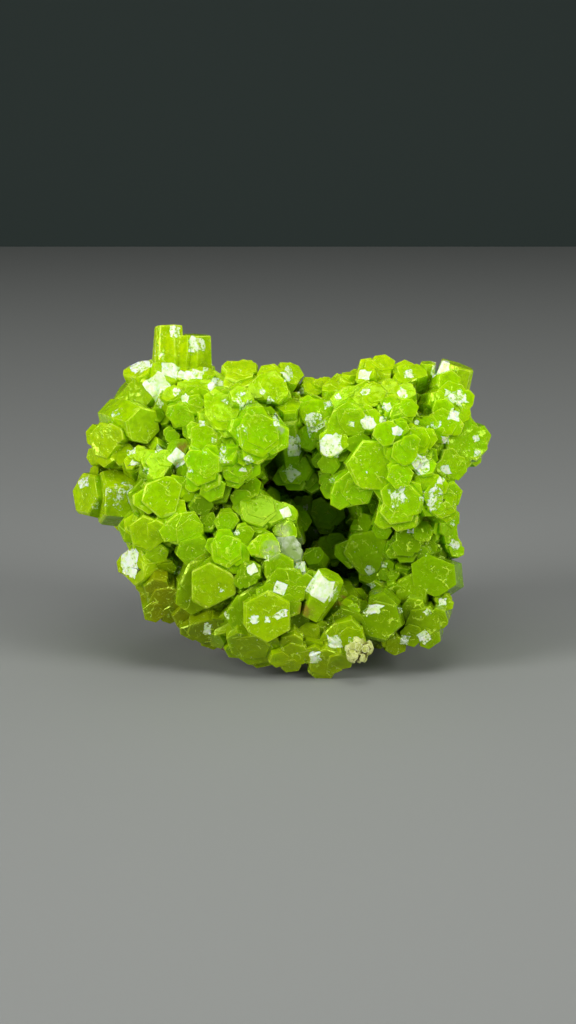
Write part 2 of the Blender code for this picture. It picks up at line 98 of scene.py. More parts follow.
LEFT_SIDE = [
    (-20.8, 20.0, 1.8, 2.5, -0.75, 0.05, 6.0, 30), (-19.2, 19.6, 2.2, 3.1, -0.95, -0.03, 8.0, 0),
    (-12.5, 23.2, 6.8, 1.7, 0.0, 0.45), (-12.1, 19.6, 7.6, 2.6, 0.15, -0.05),
    (-16.6, 24.2, 4.8, 1.5, -0.15, 0.05), (-14.6, 24.1, 6.0, 1.0, 0.0, 0.3),
    (-15.6, 23.3, 6.0, 0.9, -0.2, 0.3), (-14.0, 15.9, 6.5, 2.2, -0.2, -0.3),
    (-10.2, 16.2, 7.0, 2.1, 0.3, -0.2), (-12.9, 13.6, 6.0, 1.5, 0.0, -0.5),
    (-15.7, 12.5, 4.2, 2.0, -0.7, 0.0), (-14.0, 10.1, 4.2, 1.6, -0.4, -0.5),
    (-12.0, 8.7, 5.2, 2.3, 0.1, -0.5), (-10.1, 12.3, 3.6, 1.5, 0.1, 0.1), (-7.9, 5.4, 4.6, 2.2, 0.0, -0.65),
    (-7.1, 10.3, 7.2, 2.7, -0.05, -0.1, 7.0, 0),
]
LEFT_MASS = [
    (-8.0, 25.8, 7.8, 1.8, -0.2, 0.0), (-8.0, 22.5, 8.4, 2.1, -0.2, -0.1),
    (-7.0, 20.4, 7.6, 1.7, 0.0, -0.4), (-4.5, 22.7, 8.0, 2.0, 0.1, -0.3), (-5.6, 24.3, 8.5, 1.5, -0.3, 0.3),
    (-3.4, 23.8, 8.0, 1.0, 0.2, 0.1), (-2.2, 26.1, 9.6, 2.6, 0.2, -0.05, 8.0),
    (-5.8, 28.5, 8.0, 2.4, -0.05, 0.3), (-4.0, 30.2, 7.8, 1.3, 0.2, 0.4), (-4.2, 33.0, 3.2, 2.0, 0.0, 0.75),
    (-1.1, 32.8, 3.8, 1.5, 0.0, 0.6), (1.2, 32.8, 2.6, 1.5, 0.5, 0.6), (3.5, 31.4, 2.2, 1.4, 0.2, 0.7),
    (-1.4, 31.2, 5.2, 1.9, 0.0, 0.25), (0.9, 29.4, 4.4, 1.6, 0.0, 0.8),
]
RIGHT_MASS = [
    (3.5, 28.5, 4.8, 1.8, -0.2, 0.1), (3.0, 25.9, 4.0, 1.6, -0.4, -0.2), (5.9, 31.6, 3.2, 1.5, -0.1, 0.8),
    (7.4, 32.8, 2.0, 1.0, 0.0, 0.95, 4.0, 0), (10.6, 33.3, 2.6, 2.0, 0.05, 0.6),
    (9.0, 32.6, 4.0, 1.3, -0.3, 0.6), (7.2, 29.9, 6.0, 1.7, 0.0, 0.4), (6.8, 27.4, 7.0, 2.0, -0.2, -0.3),
    (5.5, 25.3, 6.8, 1.8, -0.25, 0.15, 6.0, 10), (5.1, 23.0, 5.6, 1.4, -0.2, -0.5),
    (9.5, 27.7, 8.0, 1.4, 0.05, 0.2), (9.4, 30.1, 6.4, 1.6, 0.0, 0.3), (11.5, 30.8, 6.0, 1.5, 0.1, 0.4),
    (13.8, 32.9, 3.2, 1.8, 0.1, 0.7), (13.1, 30.6, 5.8, 1.3, 0.0, 0.5), (11.5, 29.3, 7.5, 0.9, 0.0, 0.2),
    (12.9, 28.2, 7.4, 1.7, 0.1, 0.1), (12.6, 26.7, 8.1, 1.0, 0.0, -0.2), (11.0, 26.2, 8.4, 1.5, -0.1, 0.0),
    (14.2, 25.5, 7.6, 1.7, 0.1, 0.0), (12.9, 24.3, 8.3, 1.7, 0.0, -0.1),
    (9.7, 23.0, 7.4, 2.95, 0.0, -0.14, 8.0, 26), (12.5, 21.8, 7.9, 1.7, 0.1, 0.0),
    (15.8, 34.0, 1.5, 1.0, 0.05, 0.95, 4.0), (18.9, 33.8, 2.0, 2.0, 0.3, 0.93, 6.0, 30),
    (18.1, 30.3, 5.0, 2.1, 0.25, 0.05), (17.0, 27.5, 6.6, 1.9, -0.1, -0.1),
    (19.5, 25.2, 4.6, 2.6, 0.4, -0.1), (21.0, 26.2, 1.6, 0.9, 0.6, 0.1, 4.0),
    (20.9, 24.1, 2.2, 1.4, 0.6, -0.1, 4.0), (19.1, 28.3, 6.0, 1.2, 0.4, 0.4),
    (17.8, 22.6, 5.2, 1.9, 0.3, -0.2), (15.2, 22.9, 7.2, 1.3, 0.0, 0.3), (15.4, 20.8, 6.8, 1.9, 0.0, -0.1),
    (16.9, 19.1, 6.2, 2.0, 0.3, -0.1), (12.5, 18.6, 7.2, 2.4, -0.1, -0.2),
    (7.2, 20.1, 5.8, 2.1, -0.1, -0.4), (5.2, 20.6, 3.6, 1.4, -0.5, -0.1),
]
HOLLOW = [
    (1.5, 22.4, 1.6, 1.9, -0.2, -0.1), (1.5, 25.2, 1.5, 1.3, 0.0, 0.0), (3.3, 21.4, 0.8, 1.5, 0.0, 0.0),
    (2.7, 18.5, -4.6, 1.4, 0.0, 0.1), (4.8, 17.7, -4.4, 1.8, 0.0, 0.0), (5.2, 14.2, -3.2, 1.7, -0.2, 0.1),
    (9.4, 13.7, 0.8, 3.0, -0.1, -0.1, 8.0), (13.4, 14.6, 3.4, 1.7, 0.0, 0.1),
    (15.1, 16.1, 3.6, 1.4, 0.2, 0.2),
]
LOWER_RIGHT = [
    (18.1, 16.6, 2.2, 1.8, 0.6, -0.1), (18.8, 14.1, 1.6, 1.1, 0.5, 0.0),
    (16.2, 11.3, 4.6, 2.7, -0.2, 0.05, 7.0, 8), (17.5, 8.5, 3.4, 1.0, 0.3, 0.0, 4.0),
    (15.0, 6.4, 4.6, 2.3, -0.1, -0.2), (10.5, 6.7, 6.6, 2.6, -0.1, -0.1, 7.0),
    (7.2, 7.8, 5.6, 1.2, 0.0, 0.3), (6.4, 4.9, 6.6, 2.1, 0.0, -0.4),
    (5.3, 11.6, 7.8, 1.7, 0.45, 0.85, 5.0, 10), (12.2, 3.9, 3.8, 1.4, 0.1, -0.5),
]
BOTTOM = [
    (0.6, 10.4, 8.5, 2.7, 0.05, -0.05), (-3.3, 11.4, 7.6, 1.5, -0.2, 0.1),
    (-1.3, 7.4, 9.2, 2.8, 0.0, -0.1, 8.0, 0), (-3.0, 3.6, 6.6, 2.6, -0.1, -0.65),
    (-4.9, 4.0, 5.0, 1.4, -0.6, -0.5), (1.4, 3.2, 6.6, 2.0, 0.1, -0.6), (3.0, 5.3, 6.6, 1.5, 0.2, -0.2),
    (4.8, 2.3, 5.8, 2.2, 0.0, -0.6), (-2.4, 18.5, 5.8, 2.3, 0.1, 0.45), (0.6, 17.9, 5.0, 1.1, 0.3, 0.2),
    (0.5, 16.2, 5.6, 1.2, 0.3, 0.1), (-5.1, 19.3, 4.6, 1.4, -0.1, 0.4), (-5.6, 16.9, 6.6, 1.6, -0.2, 0.2),
    (-5.6, 14.1, 7.6, 2.0, -0.1, 0.0), (-8.3, 14.3, 4.6, 1.4, -0.1, 0.0), (-1.7, 14.5, 8.0, 1.5, 0.0, 0.1),
    (-3.7, 15.6, 7.6, 1.3, -0.1, 0.1),
]
FACE_ROWS = TOWERS + UPPER_LEFT + LEFT_SIDE + LEFT_MASS + RIGHT_MASS + HOLLOW + LOWER_RIGHT + BOTTOM
CREAM_GROUP = [
    (8.0, 4.4, 8.2, 0.85, 0.1, 0.3, 2.6), (9.2, 4.0, 8.0, 0.75, 0.5, 0.1, 1.8),
    (7.6, 3.0, 8.3, 0.7, -0.2, -0.3, 2.0), (8.6, 2.8, 8.0, 0.6, 0.3, -0.4, 1.8),
    (7.2, 4.0, 7.9, 0.6, -0.5, 0.2, 1.8),
]
PALE_CRYSTAL = (0.9, 14.1, 7.4, 1.5, 0.1, 0.2, 3.4, 15)

# The mass that the green crystals root in: middle (right, up, toward) and half sizes of each lump
ROOTS = [
    (-10.5, 24.0, -4.0, 7.0, 9.0, 8.5), (-13.0, 19.5, -4.0, 5.0, 7.5, 7.5),
    (-1.5, 28.0, -4.0, 8.0, 4.0, 8.5), (5.0, 27.5, -5.0, 6.0, 3.6, 7.5), (13.2, 25.5, -4.0, 5.8, 6.4, 9.0),
    (13.0, 18.0, -5.5, 4.4, 6.0, 8.0), (13.2, 10.0, -5.5, 4.0, 6.0, 8.0),
    (-11.0, 13.0, -4.0, 4.6, 6.0, 7.5), (-3.0, 9.5, -1.0, 6.0, 5.6, 7.0), (6.0, 6.5, -5.0, 7.0, 4.0, 6.5),
    (-4.5, 16.5, -3.0, 5.0, 4.5, 7.0), (6.0, 16.0, -9.5, 6.5, 6.5, 3.0),
]
ROCK_LUMPS = [
    (-2.5, 17.0, -13.5, 11.5, 12.0, 6.0), (6.0, 11.0, -13.5, 9.0, 9.5, 6.0),
    (1.5, 4.5, -9.5, 9.4, 6.0, 7.8), (-3.0, 21.5, -2.5, 1.7, 1.2, 7.0),
]
EDGE = [
    (-22.0, 22.5), (-20.5, 28.0), (-17.5, 31.0), (-16.0, 34.5), (-13.5, 38.0), (-7.5, 37.2), (-7.5, 33.5),
    (-2.5, 34.2), (3.0, 32.6), (9.5, 34.8), (12.5, 33.8), (16.0, 34.4), (20.8, 33.2), (20.5, 28.0),
    (22.0, 25.0), (19.5, 21.5), (19.2, 18.0), (19.5, 13.0), (17.8, 8.0), (16.0, 3.4), (9.0, 2.4),
    (5.0, 0.2), (-3.0, 1.4), (-8.0, 3.2), (-14.0, 6.5), (-17.5, 11.0), (-17.0, 15.5), (-21.0, 17.5),
]
ROOT_ROUGHNESS = 0.05                   # how far the roots' own small facets stray, over their half size
OVERLAP = 0.8                           # a place this deep in another lump grows no crystal
ROCK_MARGIN = 0.5                       # nor does a place this far inside the rock's skin

# Rounds of crystals scattered over the root mass: the tries, the smallest and largest radius, how far
# they stand out and sway, their spacing, the share of their radius that must lie within the edge,
# and whether they grow on the best face too
HIDDEN = (9000, 2.0, 3.4, 0.8, 0.25, 0.98, 0.6, False)
FILLERS = (9000, 0.8, 1.7, 0.7, 0.35, 0.66, 0.9, True)
LIDS = (10000, 0.6, 1.3, 0.2, 0.3, 0.58, 0.6, True)     # flat, where the taller would stand past the edge

# The rock's relief, in its order: kind of texture, size, strength, the level that stays in place
# and the texture's own settings
ROCK_VOXEL = 0.3                        # grain of the rock's mesh, in millimetres
ROCK_SWELL = 0.06                       # how far the rock is swollen first, in millimetres
ROCK_RELIEF = [
    ("CLOUDS", 4.5, 1.5, 0.5, {"noise_depth": 2, "noise_type": "HARD_NOISE"}),
    ("VORONOI", 2.6, 1.4, 0.45, {"distance_metric": "DISTANCE", "noise_intensity": 1.0}),
    ("CLOUDS", 0.8, 0.45, 0.5, {"noise_depth": 3}),
]
FOOT_HEIGHT = 0.35                      # how high the rock keeps the smooth outline of its flat foot
GROUND_CUBE = 0.1                       # metres, larger than the specimen

# The small crystals on the cream and the cloudy ones
SPRIG_SWAY = 0.7                        # how far they lean away from their crystal
SPRIG_SIZE = (0.38, 0.58)               # their radius over its radius
SPRIG_REACH = 1.02                      # how far out they end, in its radii

# How shelter is measured: the rays from each point, and how far they reach
SHELTER_RAYS = 10
CRYSTAL_SHELTER = 5.0
CREAM_SHELTER = 0.8

# Crystals that close the seams between neighbours on the best face, but for the dark gaps: the
# middle (right, up) and half sizes of each gap
SEAM_APART = (0.5, 1.25)                # how far apart two ends may be, over the sum of radii
SEAM_STEP = 2.6                         # the largest step between their levels
SEAM_PLACE = (0.35, 0.65)               # where between them such a crystal stands
SEAM_SIZE = (0.7, 0.95)                 # its radius over the smaller of theirs
SEAM_SWAY = 0.12
SETTLING = 0.5                          # how far a crystal is drawn to its neighbours' level
SEAM_SHARE = 0.75                       # share of the seams that hold one
SEAM_DEPTHS = (0.15, 0.6)               # how far behind its neighbours such a crystal ends
SEAM_SHADE = 0.45                       # how much painted shade, darker and greener, the crystals in the seams get
SKIRT_SHADE = 0.8                       # and the wide ones sunk round the large crystals
SKIRT_SIZE = (1.2, 1.45)                # the radius of such a wide one over the large crystal's
SKIRT_DEPTHS = (0.45, 0.75)             # how far it is sunk, in the large crystal's radii
SKIRT_SWAY = 0.06
GAPS = [
    (-0.8, 20.6, 2.0, 1.9), (3.8, 17.0, 3.0, 4.2), (6.0, 10.9, 1.8, 2.4), (11.5, 10.4, 1.5, 2.6),
    (-10.2, 10.2, 1.5, 3.6), (-13.5, 26.2, 1.6, 1.9), (15.2, 26.7, 0.6, 0.8), (-4.6, 20.9, 1.2, 0.5),
    (-7.5, 8.0, 1.5, 1.6), (0.7, 6.2, 0.9, 1.8),
]

# Crystals that join the two towers and close a chink: end, lean, radius and turn in degrees
JOINING = [
    ((-10.3, 36.9, 0.72), (0.03, 1.0, 0.0), 1.4, 32.0),
    ((-8.0, 18.7, 5.2), (0.0, 0.1, 1.0), 1.9, 10.0),
    ((3.6, 13.4, 1.0), (-0.2, 0.3, 0.9), 1.5, 40.0),
    ((2.2, 17.2, -1.6), (0.2, 0.2, 0.9), 1.7, 25.0),
]

# Bright facets, with painted glints (whitish, speckle-broken reflections of the lamps): the middle (right,
# up), half width, half height and, where they aren't the usual ones, the turn in degrees, the sides and how
# whole the white is
GLINT_USUAL = (0, 4, 0.8)
GLINTS = [
    (-13.2, 31.6, 1.2, 1.1, 38, 4, 1.0), (-11.9, 33.2, 1.2, 0.35, -10, 4, 0.95),
    (-11.3, 37.5, 0.6, 0.45, 0, 4, 0.85), (-13.0, 35.3, 0.35, 0.8, 0, 4, 0.6), (-9.0, 36.0, 0.3, 1.0),
    (-15.1, 33.8, 1.1, 0.8, 20, 6, 0.85), (-6.9, 31.6, 0.85, 0.75, 10, 5, 0.9),
    (-17.7, 28.7, 0.55, 0.3, 20), (-13.0, 24.8, 0.4, 0.45, 15, 3, 1.0),
    (-10.9, 23.9, 1.1, 0.35, -45, 4, 1.0), (-21.1, 21.2, 0.6, 0.4, 5, 4, 0.75),
    (-19.9, 19.0, 0.5, 0.6, 0, 5, 0.65), (-17.0, 19.9, 1.8, 1.25, 0, 6, 0.62),
    (-16.1, 12.5, 1.0, 1.7, 8, 6, 0.9), (-11.1, 11.8, 0.35, 0.45), (-5.8, 6.9, 0.25, 0.45, -10),
    (-7.8, 5.5, 0.5, 0.2), (-4.1, 30.1, 0.8, 0.8, 35, 4, 0.7), (-1.1, 30.1, 0.4, 0.4, 20, 3, 0.8),
    (-0.4, 28.0, 0.35, 0.7, 5, 5, 0.8), (0.8, 32.9, 0.4, 0.65, 20), (-3.4, 23.7, 0.4, 0.4, 30),
    (-4.0, 22.6, 0.4, 0.25, 0, 3, 0.8), (5.5, 25.2, 1.2, 1.3, 12, 6, 0.9),
    (3.7, 27.7, 1.1, 0.6, 30, 4, 0.75), (5.2, 29.6, 0.4, 0.4, 10), (1.5, 25.2, 0.9, 0.3, 10),
    (1.2, 22.2, 0.8, 0.6, 45), (9.1, 32.8, 0.7, 0.4, -15, 4, 0.9), (9.5, 27.7, 0.75, 0.75, 20, 6, 0.9),
    (12.6, 26.8, 0.55, 0.5, -10, 5, 1.0), (13.1, 30.9, 0.5, 0.5, 20, 5, 0.8), (13.8, 32.9, 0.5, 0.4),
    (17.2, 33.5, 0.8, 1.0, -10, 4, 0.9), (18.9, 30.4, 1.1, 0.8, -30, 5, 0.75),
    (18.8, 28.5, 0.7, 0.4, -20, 4, 0.9), (17.8, 25.8, 0.4, 0.4), (15.2, 23.1, 0.9, 1.0, 20, 5, 0.9),
    (17.8, 22.6, 0.4, 0.5, 10), (12.7, 19.7, 0.9, 0.8, 15, 4, 0.7), (16.5, 19.4, 1.0, 1.3, 30, 4, 0.65),
    (14.0, 16.1, 0.3, 0.3), (18.8, 14.5, 0.5, 0.6, 0, 5, 0.8), (7.3, 11.8, 0.3, 0.4, 10),
    (9.7, 11.8, 0.4, 0.5, 30), (11.2, 12.4, 0.3, 0.3), (9.7, 10.2, 0.5, 0.3, 15),
    (9.9, 7.6, 1.1, 0.6, 10, 5, 0.85), (17.5, 8.4, 0.4, 0.3), (15.5, 4.6, 0.7, 0.4, 30),
    (5.9, 4.1, 0.7, 0.7, 15, 4, 0.85), (3.8, 2.4, 0.55, 0.6, 5, 4, 0.85),
    (2.2, 12.3, 0.7, 0.4, -10, 4, 0.95), (0.0, 9.9, 0.7, 0.5, -20, 4, 0.95),
    (-3.0, 11.9, 0.5, 0.5, 30, 4, 1.0), (-2.7, 6.5, 0.5, 0.5, 10, 6, 0.8), (0.0, 7.0, 0.8, 0.4, 25, 5, 0.8),
    (0.6, 18.0, 0.5, 0.5, 20, 4, 1.0), (2.7, 18.6, 0.3, 0.3), (-1.5, 13.1, 0.3, 0.25, 10),
    (-9.4, 32.8, 0.5, 0.4, 20), (4.3, 10.0, 0.8, 1.5, -30, 4, 1.0), (5.9, 8.9, 0.7, 1.1, -15, 5, 0.6),
    (3.9, 16.0, 0.2, 0.35, 20), (6.2, 30.5, 0.3, 0.3, 10), (9.2, 31.0, 0.5, 0.35, 20, 5, 0.85),
    (11.5, 29.4, 0.5, 0.4, -30, 5, 0.9), (11.1, 28.0, 0.25, 0.4, 0, 4, 0.9),
    (14.7, 27.7, 0.25, 0.25, 0, 5, 0.9), (16.5, 27.4, 0.8, 0.35, 10, 6, 0.6), (21.1, 26.0, 0.3, 0.35, 20),
    (21.2, 24.4, 0.25, 0.4, 0, 4, 0.7), (9.1, 22.2, 0.25, 0.25, 0, 4, 0.7), (7.4, 18.1, 0.35, 0.35, 20),
    (5.6, 21.5, 0.25, 0.25, 0, 5, 0.8), (17.3, 21.5, 0.45, 0.2, -20), (-16.0, 24.6, 0.55, 0.15, 0, 4, 0.9),
    (-15.8, 23.3, 0.55, 0.3, 10, 3, 0.9), (-14.4, 22.5, 0.35, 0.4, 30, 5, 0.75),
    (-12.9, 29.7, 0.3, 0.5, -40), (-11.2, 31.0, 0.4, 0.4, 20, 5, 0.8), (-10.2, 30.3, 0.4, 0.5, 0, 5, 0.85),
    (-10.3, 32.7, 0.7, 0.25, -35, 4, 0.95), (-8.9, 32.9, 0.7, 0.18, -20, 4, 0.9),
    (-8.0, 33.5, 0.25, 0.3, 0, 4, 0.9), (-8.4, 27.6, 0.3, 0.25, 0, 4, 0.85), (-8.1, 24.5, 0.25, 0.2),
    (-5.9, 24.1, 0.7, 0.9, 20, 6, 0.58), (-4.0, 26.5, 0.6, 1.0, 10, 6, 0.58),
    (-9.7, 22.6, 0.3, 0.3, 0, 4, 0.7), (-7.1, 25.8, 0.25, 0.25, 0, 4, 0.7), (2.2, 31.0, 0.35, 0.3, 10),
    (-1.9, 31.0, 0.3, 0.3, 0, 5, 0.8), (-5.9, 29.9, 0.3, 0.25, 20), (7.7, 27.5, 0.25, 0.25),
    (16.5, 18.8, 0.25, 0.25), (18.5, 16.9, 0.4, 0.2, 0, 4, 0.7), (-4.7, 15.9, 0.3, 0.3, 10, 4, 0.7),
    (-1.3, 6.5, 0.3, 0.3), (-6.2, 9.7, 0.25, 0.2, 0, 4, 0.7), (13.4, 4.3, 0.5, 0.25, -10),
    (15.9, 7.3, 0.4, 0.3, 15, 5, 0.8), (12.9, 7.5, 0.3, 0.3, 0, 4, 0.7), (7.7, 4.3, 0.3, 0.4, 0, 4, 0.7),
]

GLINT_CORNERS = {3: 1.35, 4: math.sqrt(2.0), 5: 1.15, 6: 1.1}
GLINT_DEPTH = 0.5                       # how far an outline reaches in front of and behind its middle
GLINT_RAGGED = 1.7                      # how far the corners of a broken one stray, over its half width
GLINT_MOST_RAGGED = 0.55                # and the most that they stray, so that no outline crosses itself

# Stains on the crystals: the middle (right, up) and radius, of rust and of pale fibres
RUST = [(-10.5, 25.0, 0.9), (6.9, 8.9, 0.7), (2.8, 7.4, 1.2), (6.1, 8.1, 0.9)]
FIBRES = [(-0.9, 14.0, 1.3), (0.4, 16.0, 1.1), (2.0, 14.9, 1.2), (0.0, 26.9, 0.6)]

# Where the crystals of the best face get painted shade, a deeper green: middle (right, up), half sizes and
# how much
PAINTED_SHADE_AREAS = [
    (-7.4, 17.4, 2.2, 2.2, 0.9), (-2.5, 17.0, 3.0, 2.4, 0.5), (13.2, 12.8, 4.2, 4.0, 0.9),
    (2.4, 14.0, 1.6, 1.8, 0.9), (11.8, 7.6, 2.6, 2.4, 0.8), (15.0, 4.6, 2.4, 2.4, 0.7),
    (-11.4, 8.0, 2.8, 3.4, 0.6), (9.0, 17.0, 5.0, 2.4, 0.5), (-1.0, 20.4, 2.0, 1.8, 0.8),
    (-4.0, 5.0, 4.0, 3.0, 0.4), (-1.5, 11.5, 2.8, 2.8, 0.8), (-7.8, 5.2, 2.6, 2.2, 0.9),
]

# Lamps: direction from the specimen (right, up, toward the viewer), distance, side and strength
LAMPS = {
    "key": ((0.05, 0.79, 0.61), 150.0, 80.0, 0.073),
    "left": ((-0.78, 0.28, 0.56), 500.0, 220.0, 2.12),
    "right": ((0.78, 0.28, 0.56), 500.0, 220.0, 1.62),
    "top": ((0.05, 0.98, -0.15), 500.0, 420.0, 0.5),
}


def from_face(right, up, toward):
    """Turn a place or direction as seen on the best face into the model's own axes."""
    level = math.cos(FACE_PITCH)
    tilt = math.sin(FACE_PITCH)
    return Vector((right, up * tilt - toward * level, up * level + toward * tilt))


def placed(right, up, toward):
    """The same, as a place in metres where the solids are."""
    return (from_face(right, up, toward) + SHIFT) * MM


def deselect():
    """Leave nothing selected, so that an operator acts on the new piece alone."""
    bpy.ops.object.select_all(action="DESELECT")


def switch(mode):
    """Go into edit mode, or back to object mode."""
    bpy.ops.object.mode_set(mode=mode)


def remove(piece):
    """Take a piece out of the scene for good."""
    bpy.data.objects.remove(piece, do_unlink=True)


def set_all(thing, settings):
    """Give a modifier, texture or node these settings."""
    for name, value in settings.items():
        setattr(thing, name, value)


def choose(*pieces):
    """Select just these pieces, the first one active."""
    deselect()
    for piece in pieces:
        piece.select_set(True)
    bpy.context.view_layer.objects.active = pieces[0]


def apply_modifier(piece, kind, **settings):
    """Add a modifier with these settings and apply it."""
    choose(piece)
    step = piece.modifiers.new(kind.title(), kind)
    set_all(step, settings)
    bpy.ops.object.modifier_apply(modifier=step.name)


def new_collection(name):
    """A collection of its own, linked to the scene."""
    group = bpy.data.collections.new(name)
    bpy.context.scene.collection.children.link(group)
    return group


def move_to(piece, group):
    """Put a piece in one collection and no other."""
    for other in list(piece.users_collection):
        other.objects.unlink(piece)
    group.objects.link(piece)


def copy_of(form, group):
    """A copy with a mesh of its own."""
    piece = form.copy()
    piece.data = form.data.copy()
    group.objects.link(piece)
    return piece


def paint(piece, name, value, domain="FACE"):
    """Store one number on every face or corner point of a piece."""
    mark = piece.data.attributes.get(name) or piece.data.attributes.new(name, "FLOAT", domain)
    mark.data.foreach_set("value", [value] * len(mark.data))


def combine(base, operation, group):
    """Join every piece of a collection to the base, or cut them from it, and clear them away."""
    apply_modifier(base, "BOOLEAN", operation=operation, operand_type="COLLECTION",
                   collection=group, solver="MANIFOLD")
    for piece in list(group.objects):
        remove(piece)
    bpy.data.collections.remove(group)


def rename(piece, name):
    """Give a piece and its mesh one name."""
    piece.name = name
    piece.data.name = name


def apply_places(pieces):
    """Turn the pieces' places, turns and sizes into their meshes' own."""
    choose(*pieces)
    bpy.ops.object.transform_apply(location=True, rotation=True, scale=True)


def join_all(group, name, base=0):
    """Join a collection's pieces to one of them, as one closed skin with this name."""
    pieces = list(group.objects)
    apply_places(pieces)
    whole = pieces[base]
    move_to(whole, bpy.context.scene.collection)
    rename(whole, name)
    combine(whole, "UNION", group)
    return whole


# Crystal forms

FORM_LENGTH = 3.4                       # a form's length in radii
SIDE_LEAN = 0.085                       # how far a side leans in toward either end
EDGE_ROUNDING = 0.065                   # width of the rounded edges, in radii
SIDE_REACH = (0.88, 1.08)               # how near and far the sides lie, over a true hexagon's
CORNER_SHARE = 0.4                      # share of the corners that a narrow side cuts off
CORNER_REACH = (0.86, 0.95)
RIM_SHARE = 0.35                        # share of the end's edges that a slanting facet takes off
RIM_DROP = (0.05, 0.16)
RIM_SLOPE = (0.6, 1.5)
FORM_KINDS = 6                          # how many of each kind of form there are


def slice_off(outward, place):
    """In edit mode, cut away all that lies beyond a plane, and close the cut."""
    bpy.ops.mesh.select_all(action="SELECT")
    bpy.ops.mesh.bisect(plane_co=place, plane_no=outward, use_fill=True, clear_outer=True)


def single_form(name, chance, sides=6):
    """One crystal of unit radius, its flat end at the origin and its root below it."""
    deselect()
    bpy.ops.mesh.primitive_cylinder_add(
        vertices=sides, radius=1.6, depth=FORM_LENGTH + 1.0, location=(0, 0, -FORM_LENGTH / 2.0))
    form = bpy.context.object
    form.name = name
    bpy.ops.object.transform_apply(location=True, rotation=True, scale=True)
    switch("EDIT")
    flat = math.cos(math.pi / sides)
    for side in range(sides):
        angle = math.tau * side / sides
        out = Vector((math.cos(angle), math.sin(angle), 0.0))
        reach = flat * chance.uniform(*SIDE_REACH)
        waist = out * reach + Vector((0.0, 0.0, -WAIST * FORM_LENGTH))
        slice_off((out.x, out.y, SIDE_LEAN), waist)
        slice_off((out.x, out.y, -SIDE_LEAN), waist)
        if chance.random() < CORNER_SHARE:
            corner = angle + math.pi / sides
            away = Vector((math.cos(corner), math.sin(corner), 0.0))
            cut = away * chance.uniform(*CORNER_REACH) + Vector((0.0, 0.0, waist.z))
            slice_off((away.x, away.y, SIDE_LEAN), cut)
        if chance.random() < RIM_SHARE:
            drop = chance.uniform(*RIM_DROP)
            slice_off((out.x, out.y, chance.uniform(*RIM_SLOPE)),
                      out * reach * END_WIDTH + Vector((0.0, 0.0, -drop)))
    slice_off((chance.uniform(-0.04, 0.04), chance.uniform(-0.04, 0.04), 1.0), (0.0, 0.0, 0.0))
    slice_off((0.0, 0.0, -1.0), (0.0, 0.0, -FORM_LENGTH))
    bpy.ops.mesh.select_all(action="SELECT")
    bpy.ops.transform.resize(value=(1.0, chance.uniform(0.86, 1.0), 1.0))
    switch("OBJECT")
    for _ in range(2):
        form.data.materials.append(None)
    apply_modifier(form, "BEVEL", width=EDGE_ROUNDING, segments=1, limit_method="ANGLE",
                   angle_limit=math.radians(15.0), material=1)
    mark_form(form)
    return form


def mark_form(form):
    """Keep with a form its own coordinates, its rounded edges and which faces are its end."""
    data = form.data
    grown = data.attributes.new("grown", "FLOAT_VECTOR", "CORNER")
    for corner in data.loops:
        grown.data[corner.index].vector = data.vertices[corner.vertex_index].co
    rounded_faces = data.attributes.new("rounded_edge", "FLOAT", "FACE")
    end = data.attributes.new("flat_end", "FLOAT", "FACE")
    for face in data.polygons:
        rounded_faces.data[face.index].value = float(face.material_index == 1)
        end.data[face.index].value = float(face.normal.z > 0.5)
        face.material_index = 0


def grouped_form(name, singles, chance, count, near, far, rise, plates):
    """Crystals grown side by side in nearly one direction, as one form of about unit radius."""
    group = new_collection(name + "_members")
    base = copy_of(chance.choice(singles), bpy.context.scene.collection)
    base.name = name
    base.matrix_world = Matrix.Diagonal((0.93, 0.93, 1.0, 1.0))
    members = [base]
    for number in range(count + plates):
        member = copy_of(chance.choice(singles), group)
        around = math.tau * (number + chance.uniform(-0.3, 0.3)) / max(1, count)
        if number < count:
            size = chance.uniform(0.55, 0.8)
            out = chance.uniform(near, far) - size * 0.66
            height = chance.uniform(-0.16, rise)
            sway = 0.045
        else:
            size = chance.uniform(0.7, 0.92)
            out = chance.uniform(0.18, 0.42)
            height = chance.uniform(0.015, 0.04)
            sway = 0.02
        lean = Vector((chance.gauss(0, sway), chance.gauss(0, sway), 1.0)).normalized()
        turn = Matrix.Rotation(chance.uniform(-0.12, 0.12) + (number % 6) * math.tau / 6, 4, "Z")
        spot = Vector((math.cos(around) * out, math.sin(around) * out, height))
        member.matrix_world = (Matrix.Translation(spot) @ aimed(lean) @ turn
                               @ Matrix.Diagonal((size, size, 0.9, 1.0)))
        paint(member, "fleck", chance.uniform(-1.0, 1.0))
        members.append(member)
    paint(base, "fleck", 0.0)
    apply_places(members)
    combine(base, "UNION", group)
    return base


def make_forms(chance):
    """The library of forms that the specimen's crystals are copies of."""
    singles = [single_form(f"single_{number}", chance) for number in range(FORM_KINDS)]
    for form in singles:
        paint(form, "fleck", 0.0)
    grouped = []
    for kind, members, near, far, rise in (("plated", 1, 0.8, 1.0, 0.02), ("clustered", 3, 0.88, 1.06, 0.05)):
        grouped.append([grouped_form(f"{kind}_{number}", singles, chance, members + number % 2,
                                     near, far, rise, number % 2) for number in range(FORM_KINDS)])
    return singles, *grouped


def aimed(direction):
    """The turn that points a form's end this way."""
    return direction.to_track_quat("Z", "Y").to_matrix().to_4x4()


def place_form(form, group, end, direction, radius, length, turn):
    """Copy a form to where one crystal stands; the ends and direction are in the model's axes."""
    piece = copy_of(form, group)
    turned = Matrix.Rotation(math.radians(turn), 4, "Z")
    size = Matrix.Diagonal((radius * MM, radius * MM, length * MM / FORM_LENGTH, 1.0))
    place = Matrix.Translation((end + SHIFT) * MM)
    piece.matrix_world = place @ aimed(direction.normalized()) @ turned @ size
    return piece


